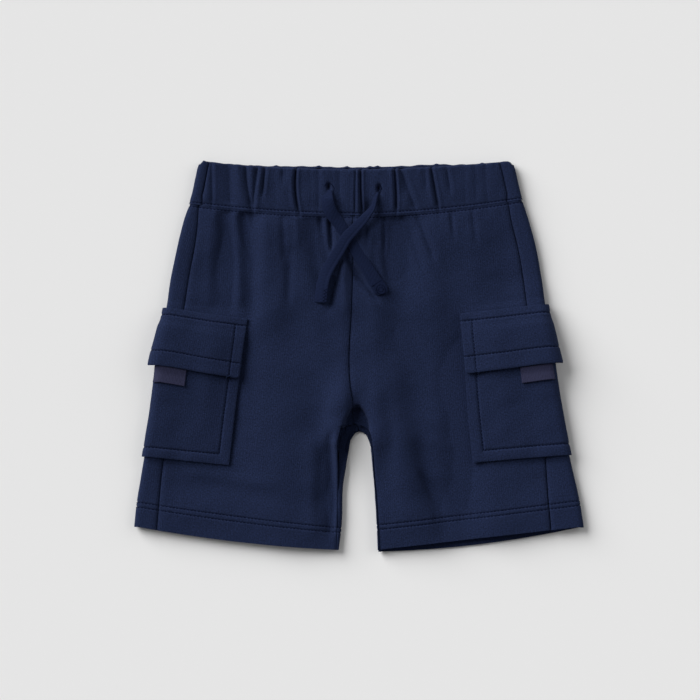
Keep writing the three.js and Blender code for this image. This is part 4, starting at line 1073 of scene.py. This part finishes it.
for side in ("right", "left"):
    near, far, drop = TAPES[side]
    foot = ROWS[side]["side"][FLAP_FOOT]
    seam, edge, pocket = (float(column(OUTLINE[side], key, foot)) for key in ("seam", "edge", "pocket"))
    outs = np.linspace(near, far, 30)
    places = np.where(
        outs <= seam,
        1 + (outs - pocket) / (seam - pocket),
        2 + np.minimum(1.25, (outs - seam) / (edge - SIDE_FOLD - seam)),
    )
    rows = np.interp(foot - np.linspace(drop, 0.3, 16), ROWS[side]["side"], ROW_NUMBERS)
    # The free end stands off the pocket a little.
    lift_off = 0.5 * np.linspace(1, 0, 16)[:, None] ** 2
    base = SEAM_GAP + POCKET_STEP + 0.1 + TAPE_THICK
    points = over(side, rows[:, None], places[None, OUTWARD[side]], base + lift_off)
    pull = thickened(cloth_grid(f"tape_pull_{side}", points, laid_out(points), tape), TAPE_THICK, 0.4)
    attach(pull, "root")
    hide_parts(f"tab_{side}")

# Waistband: a casing of fleece folded over at the top round wide elastic, which draws it into
# uneven gathers. A front and a back strip meet at the side seams, and both are sewn to the
# panels with two rows of stitching, one on each side of the seam.
BAND_CASING = 1.3
BAND_THICK = 3.2
BAND_SPAN = 33.0
# The top edge rises from the middle to each side: y at both, and how steeply it sets in.
BAND_TOP = {"middle": 139.5, "right": (146.3, 2.2), "left": (145.9, 1.6)}
BAND_TOP_RISE = 1.7
BAND_CORNER = 2.7
# Low on the band its side seam runs straight down, a little inside the panels' own.
BAND_SEAM_FOOT = 120.0
# The drawstring draws the band in at each buttonhole: where, and how deep, wide and high.
HOLE_MIDDLES = [(14.9, 124.9), (-22.8, 126.0)]
HOLE_DEEP, HOLE_WIDE, HOLE_HIGH = 3.4, 1.5, 2.8
# Small puffs of the back casing that rise along its top edge.
BACK_PUFFS = (-62, -30, -9, 8, 14, 58, 92)


def band_top(side, out, is_back):
    """The height y of the band's top edge at a distance out."""
    share = np.minimum(1, out / column(OUTLINE[side], "edge", 134.0))
    rise = BAND_TOP_RISE * np.clip(2.4 - 3.4 * share, 0, 1) if is_back else 0
    at_side, power = BAND_TOP[side]
    short = np.clip(BAND_CORNER - (column(OUTLINE[side], "edge", 144.0) - out), 0, BAND_CORNER)
    rounded = BAND_CORNER - np.sqrt(BAND_CORNER**2 - short**2)
    return BAND_TOP["middle"] + (at_side - BAND_TOP["middle"]) * share**power + rise - rounded


def band_points(side, out, share, is_back):
    """A point of the band's plain outer face, at a distance out and a share of its height."""
    y = 124.0
    for _ in range(4):
        place = out(y)
        foot = row_height(side, WAIST_ROW, place) + 0.1
        top = band_top(side, place, is_back) - BAND_THICK / 2
        y = foot + (top - foot) * share
    return place, y


def band_sheet(name, stations, is_back):
    """Builds a strip. stations are (side, turn, distance out at y): turn 1 on top, -1 beneath."""
    heights = finer((0, BAND_SPAN), 1.2, (SEAM_STITCH,))
    roll = np.linspace(0, math.pi, 9)[1:]
    shares = np.r_[heights / BAND_SPAN, np.ones(len(roll))]
    roll = np.r_[np.zeros(len(heights)), roll]
    radius = BAND_THICK / 2
    grid = np.zeros((len(shares), len(stations), 3))
    for j, (side, turn, out) in enumerate(stations):
        place, y = band_points(side, out, shares, is_back and turn < 1)
        angle = turn * math.pi / 2
        x = SIGN[side] * place
        if turn == 1 and not is_back:
            gathered = gather(x, shares, BAND_GATHERS)
            swell = 0.5 * np.minimum(1, 3 * shares) + 0.2 * unevenness(x, y, 14, 51)
            drop = gathered - swell * smooth(0, 0.15, shares)
            drop = drop + 0.25 * unevenness(x, y * 0.3, 3.5, 53) * smooth(0.85, 1, shares)
            for hole_x, hole_y in HOLE_MIDDLES:
                from_hole = ((x - hole_x) / HOLE_WIDE) ** 2 + ((y - hole_y) / HOLE_HIGH) ** 2
                drop = drop + HOLE_DEEP * np.exp(-from_hole)
            y = y - 0.25 * np.minimum(2.5, gathered) * (shares > 0.97)
        elif turn == -1:
            drop = 0.2 + np.maximum(0, gather(x, shares, BACK_GATHERS))
            y = y + 0.5 * unevenness(x, 0 * y, 13, 54) * smooth(0.6, 1, shares)
            for puff in BACK_PUFFS:
                y = y + 0.9 * np.exp(-(((x - puff) / 1.6) ** 2)) * smooth(0.85, 1, shares)
        else:
            drop = 0.0 * shares
        drop = drop + sewn(shares * BAND_SPAN - SEAM_STITCH, 0.4)
        if turn == 1:
            from_seam = np.abs(place - column(OUTLINE[side], "seam", np.maximum(y, BAND_SEAM_FOOT)))
            drop = drop + seam_edge(from_seam, 1.5, 1.2)
        depth = drop * (1 - roll / math.pi) + radius * (1 - np.cos(roll))
        grid[:, j, 0] = x - SIGN[side] * depth * math.cos(angle) - SHORTS_CENTRE[0]
        grid[:, j, 1] = y + radius * np.sin(roll) - SHORTS_CENTRE[1]
        grid[:, j, 2] = BAND_HEIGHT / 2 * (1 + math.sin(angle)) - depth * math.sin(angle)
    sewn_row = grid[np.argmin(np.abs(heights - SEAM_STITCH))]
    return thickened(cloth_grid(name, grid, laid_out(grid), fleece), BAND_CASING), sewn_row


def seam_out(side, shift):
    """How far out the side seam is at a height y, and so much further."""
    return lambda y: column(OUTLINE[side], "seam", np.maximum(y, BAND_SEAM_FOOT)) + shift


def fold_out(side, turn):
    """How far out a point of the side fold is at a height y, on top, beneath or between."""
    return lambda y: column(OUTLINE[side], "edge", y) - SIDE_FOLD * (1 - math.cos(turn * math.pi / 2))


def share_out(side, share, key, shift):
    """A share of the way out to the side seam or to the side fold, at a height y."""
    lowest = BAND_SEAM_FOOT if key == "seam" else 0.0
    return lambda y: abs(share) * (column(OUTLINE[side], key, np.maximum(y, lowest)) + shift)


front_stations = []
for share in np.linspace(-1, 1, 391):
    side = "right" if share < 0 else "left"
    front_stations.append((side, 1, share_out(side, share, "seam", -SEAM_GAP / 2)))
front_band, front_row = band_sheet("waistband_front_casing", front_stations, False)

back_stations = []
for side in ("right", "left"):
    top_part = [(side, 1, seam_out(side, SEAM_GAP / 2 + k)) for k in (0.0, 0.4, 1.0, 2.0, 3.5)]
    fold_part = [(side, turn, fold_out(side, turn)) for turn in np.linspace(1, -1, 13)]
    if side == "right":
        back_stations += top_part + fold_part
        for share in np.linspace(-0.985, 0.985, 200):
            where = "right" if share < 0 else "left"
            back_stations.append((where, -1, share_out(where, share, "edge", -SIDE_FOLD)))
    else:
        back_stations += (top_part + fold_part)[::-1]
back_band, back_row = band_sheet("waistband_back_casing", back_stations[::-1], True)

for casing, node, flat, area in (
    (front_band, "waistband_front", (0.235, 0.045), 0.0098),
    (back_band, "waistband_back", (0.262, 0.045), 0.0108),
):
    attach(casing, "root")
    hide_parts(node)


def facing_of(row):
    """Which way the cloth faces along a row of points round the band."""
    ahead = np.gradient(row, axis=0)
    facing = np.cross(ahead, [0, 1.0, 0])
    return -facing / np.linalg.norm(facing, axis=1, keepdims=True)


runs = [(front_row, facing_of(front_row), STITCH), (back_row, facing_of(back_row), STITCH)]
for side in ("right", "left"):
    lower_row = float(rows_at(side, ROWS[side]["middle"][WAIST_ROW] - SEAM_STITCH))
    runs.append(run_on(front_surface, side, lower_row, STITCHED_FRONT))
    runs.append(run_on(back_surface, side, lower_row, STITCHED_BACK))
stitches("waistband_stitching", runs)

# Buttonholes: a slit in the band for each drawstring end, bound all round with tight stitches.
# The right one is pulled open to a pointed oval, and the left one is a small upright slot.
BUTTONHOLE_RIMS = {"left": (14.9, 125.2, 1.7, 3.4), "right": (-22.8, 124.6, 3.6, 4.8)}
RIM_STITCH = (0.75, 1.5, 0.6, 0.5)


def band_height(x, y):
    """The height of the front band's face at a point."""
    side = "right" if x < 0 else "left"
    foot, top = row_height(side, WAIST_ROW, abs(x)), band_top(side, abs(x), False)
    return BAND_HEIGHT - gather(x, (y - foot) / (top - foot), BAND_GATHERS) + 0.3


for side, (x, y, half_wide, half_high) in BUTTONHOLE_RIMS.items():
    turn = np.linspace(0, 2 * math.pi, 60)
    narrow = np.abs(np.sin(turn)) ** (1.6 if side == "right" else 0.5)
    rim_x = x + half_wide * np.cos(turn) * (1.15 - 0.5 * narrow)
    rim_y = y + half_high * np.sin(turn)
    rim_z = [band_height(a, b) for a, b in zip(rim_x, rim_y)]
    rim = np.stack([rim_x, rim_y, rim_z], axis=1) - [*SHORTS_CENTRE, 0]
    facing = np.tile([0, 0, 1.0], (len(rim), 1))
    stitches(f"buttonhole_rim_{side}", [(rim, facing, RIM_STITCH)])

# Tacking on the drawstring: a stitched ring and a bar on the right end, and a zigzag down the
# edge of the left one.
TACK = (1.1, 1.0, 0.55, 0.5)


def on_drawstring(side, from_end, across):
    """Points and facing on the upper side of a drawstring end."""
    line, length, from_hole, width, aside, up = drawstring_frame(side)
    at = length - np.asarray(from_end, float)
    pick = lambda values: np.stack([np.interp(at, from_hole, values[:, k]) for k in range(3)], axis=-1)
    return pick(line) + pick(aside) * np.asarray(across, float)[:, None] + pick(up) * 1.0, pick(up)


turn = np.linspace(0, 2 * math.pi, 50)
ring = on_drawstring("right", 4.6 + 3.5 * np.sin(turn), 3.4 * np.cos(turn))
inner_ring = on_drawstring("right", 4.6 + 1.7 * np.sin(turn), 1.8 * np.cos(turn))
bar = on_drawstring("right", np.full(30, 10.2), np.linspace(-4.2, 4.2, 30))
stitches(
    "drawstring_tacking_right",
    [(*ring, TACK), (*inner_ring, TACK), (*bar, TACK)],
)
zigzag = np.linspace(0, 1, 90)
side_to_side = np.abs((zigzag * 8) % 2 - 1)
tacked = on_drawstring("left", 0.8 + 10.5 * zigzag, -2.0 - 2.2 * side_to_side)
stitches("drawstring_tacking_left", [(*tacked, TACK)])
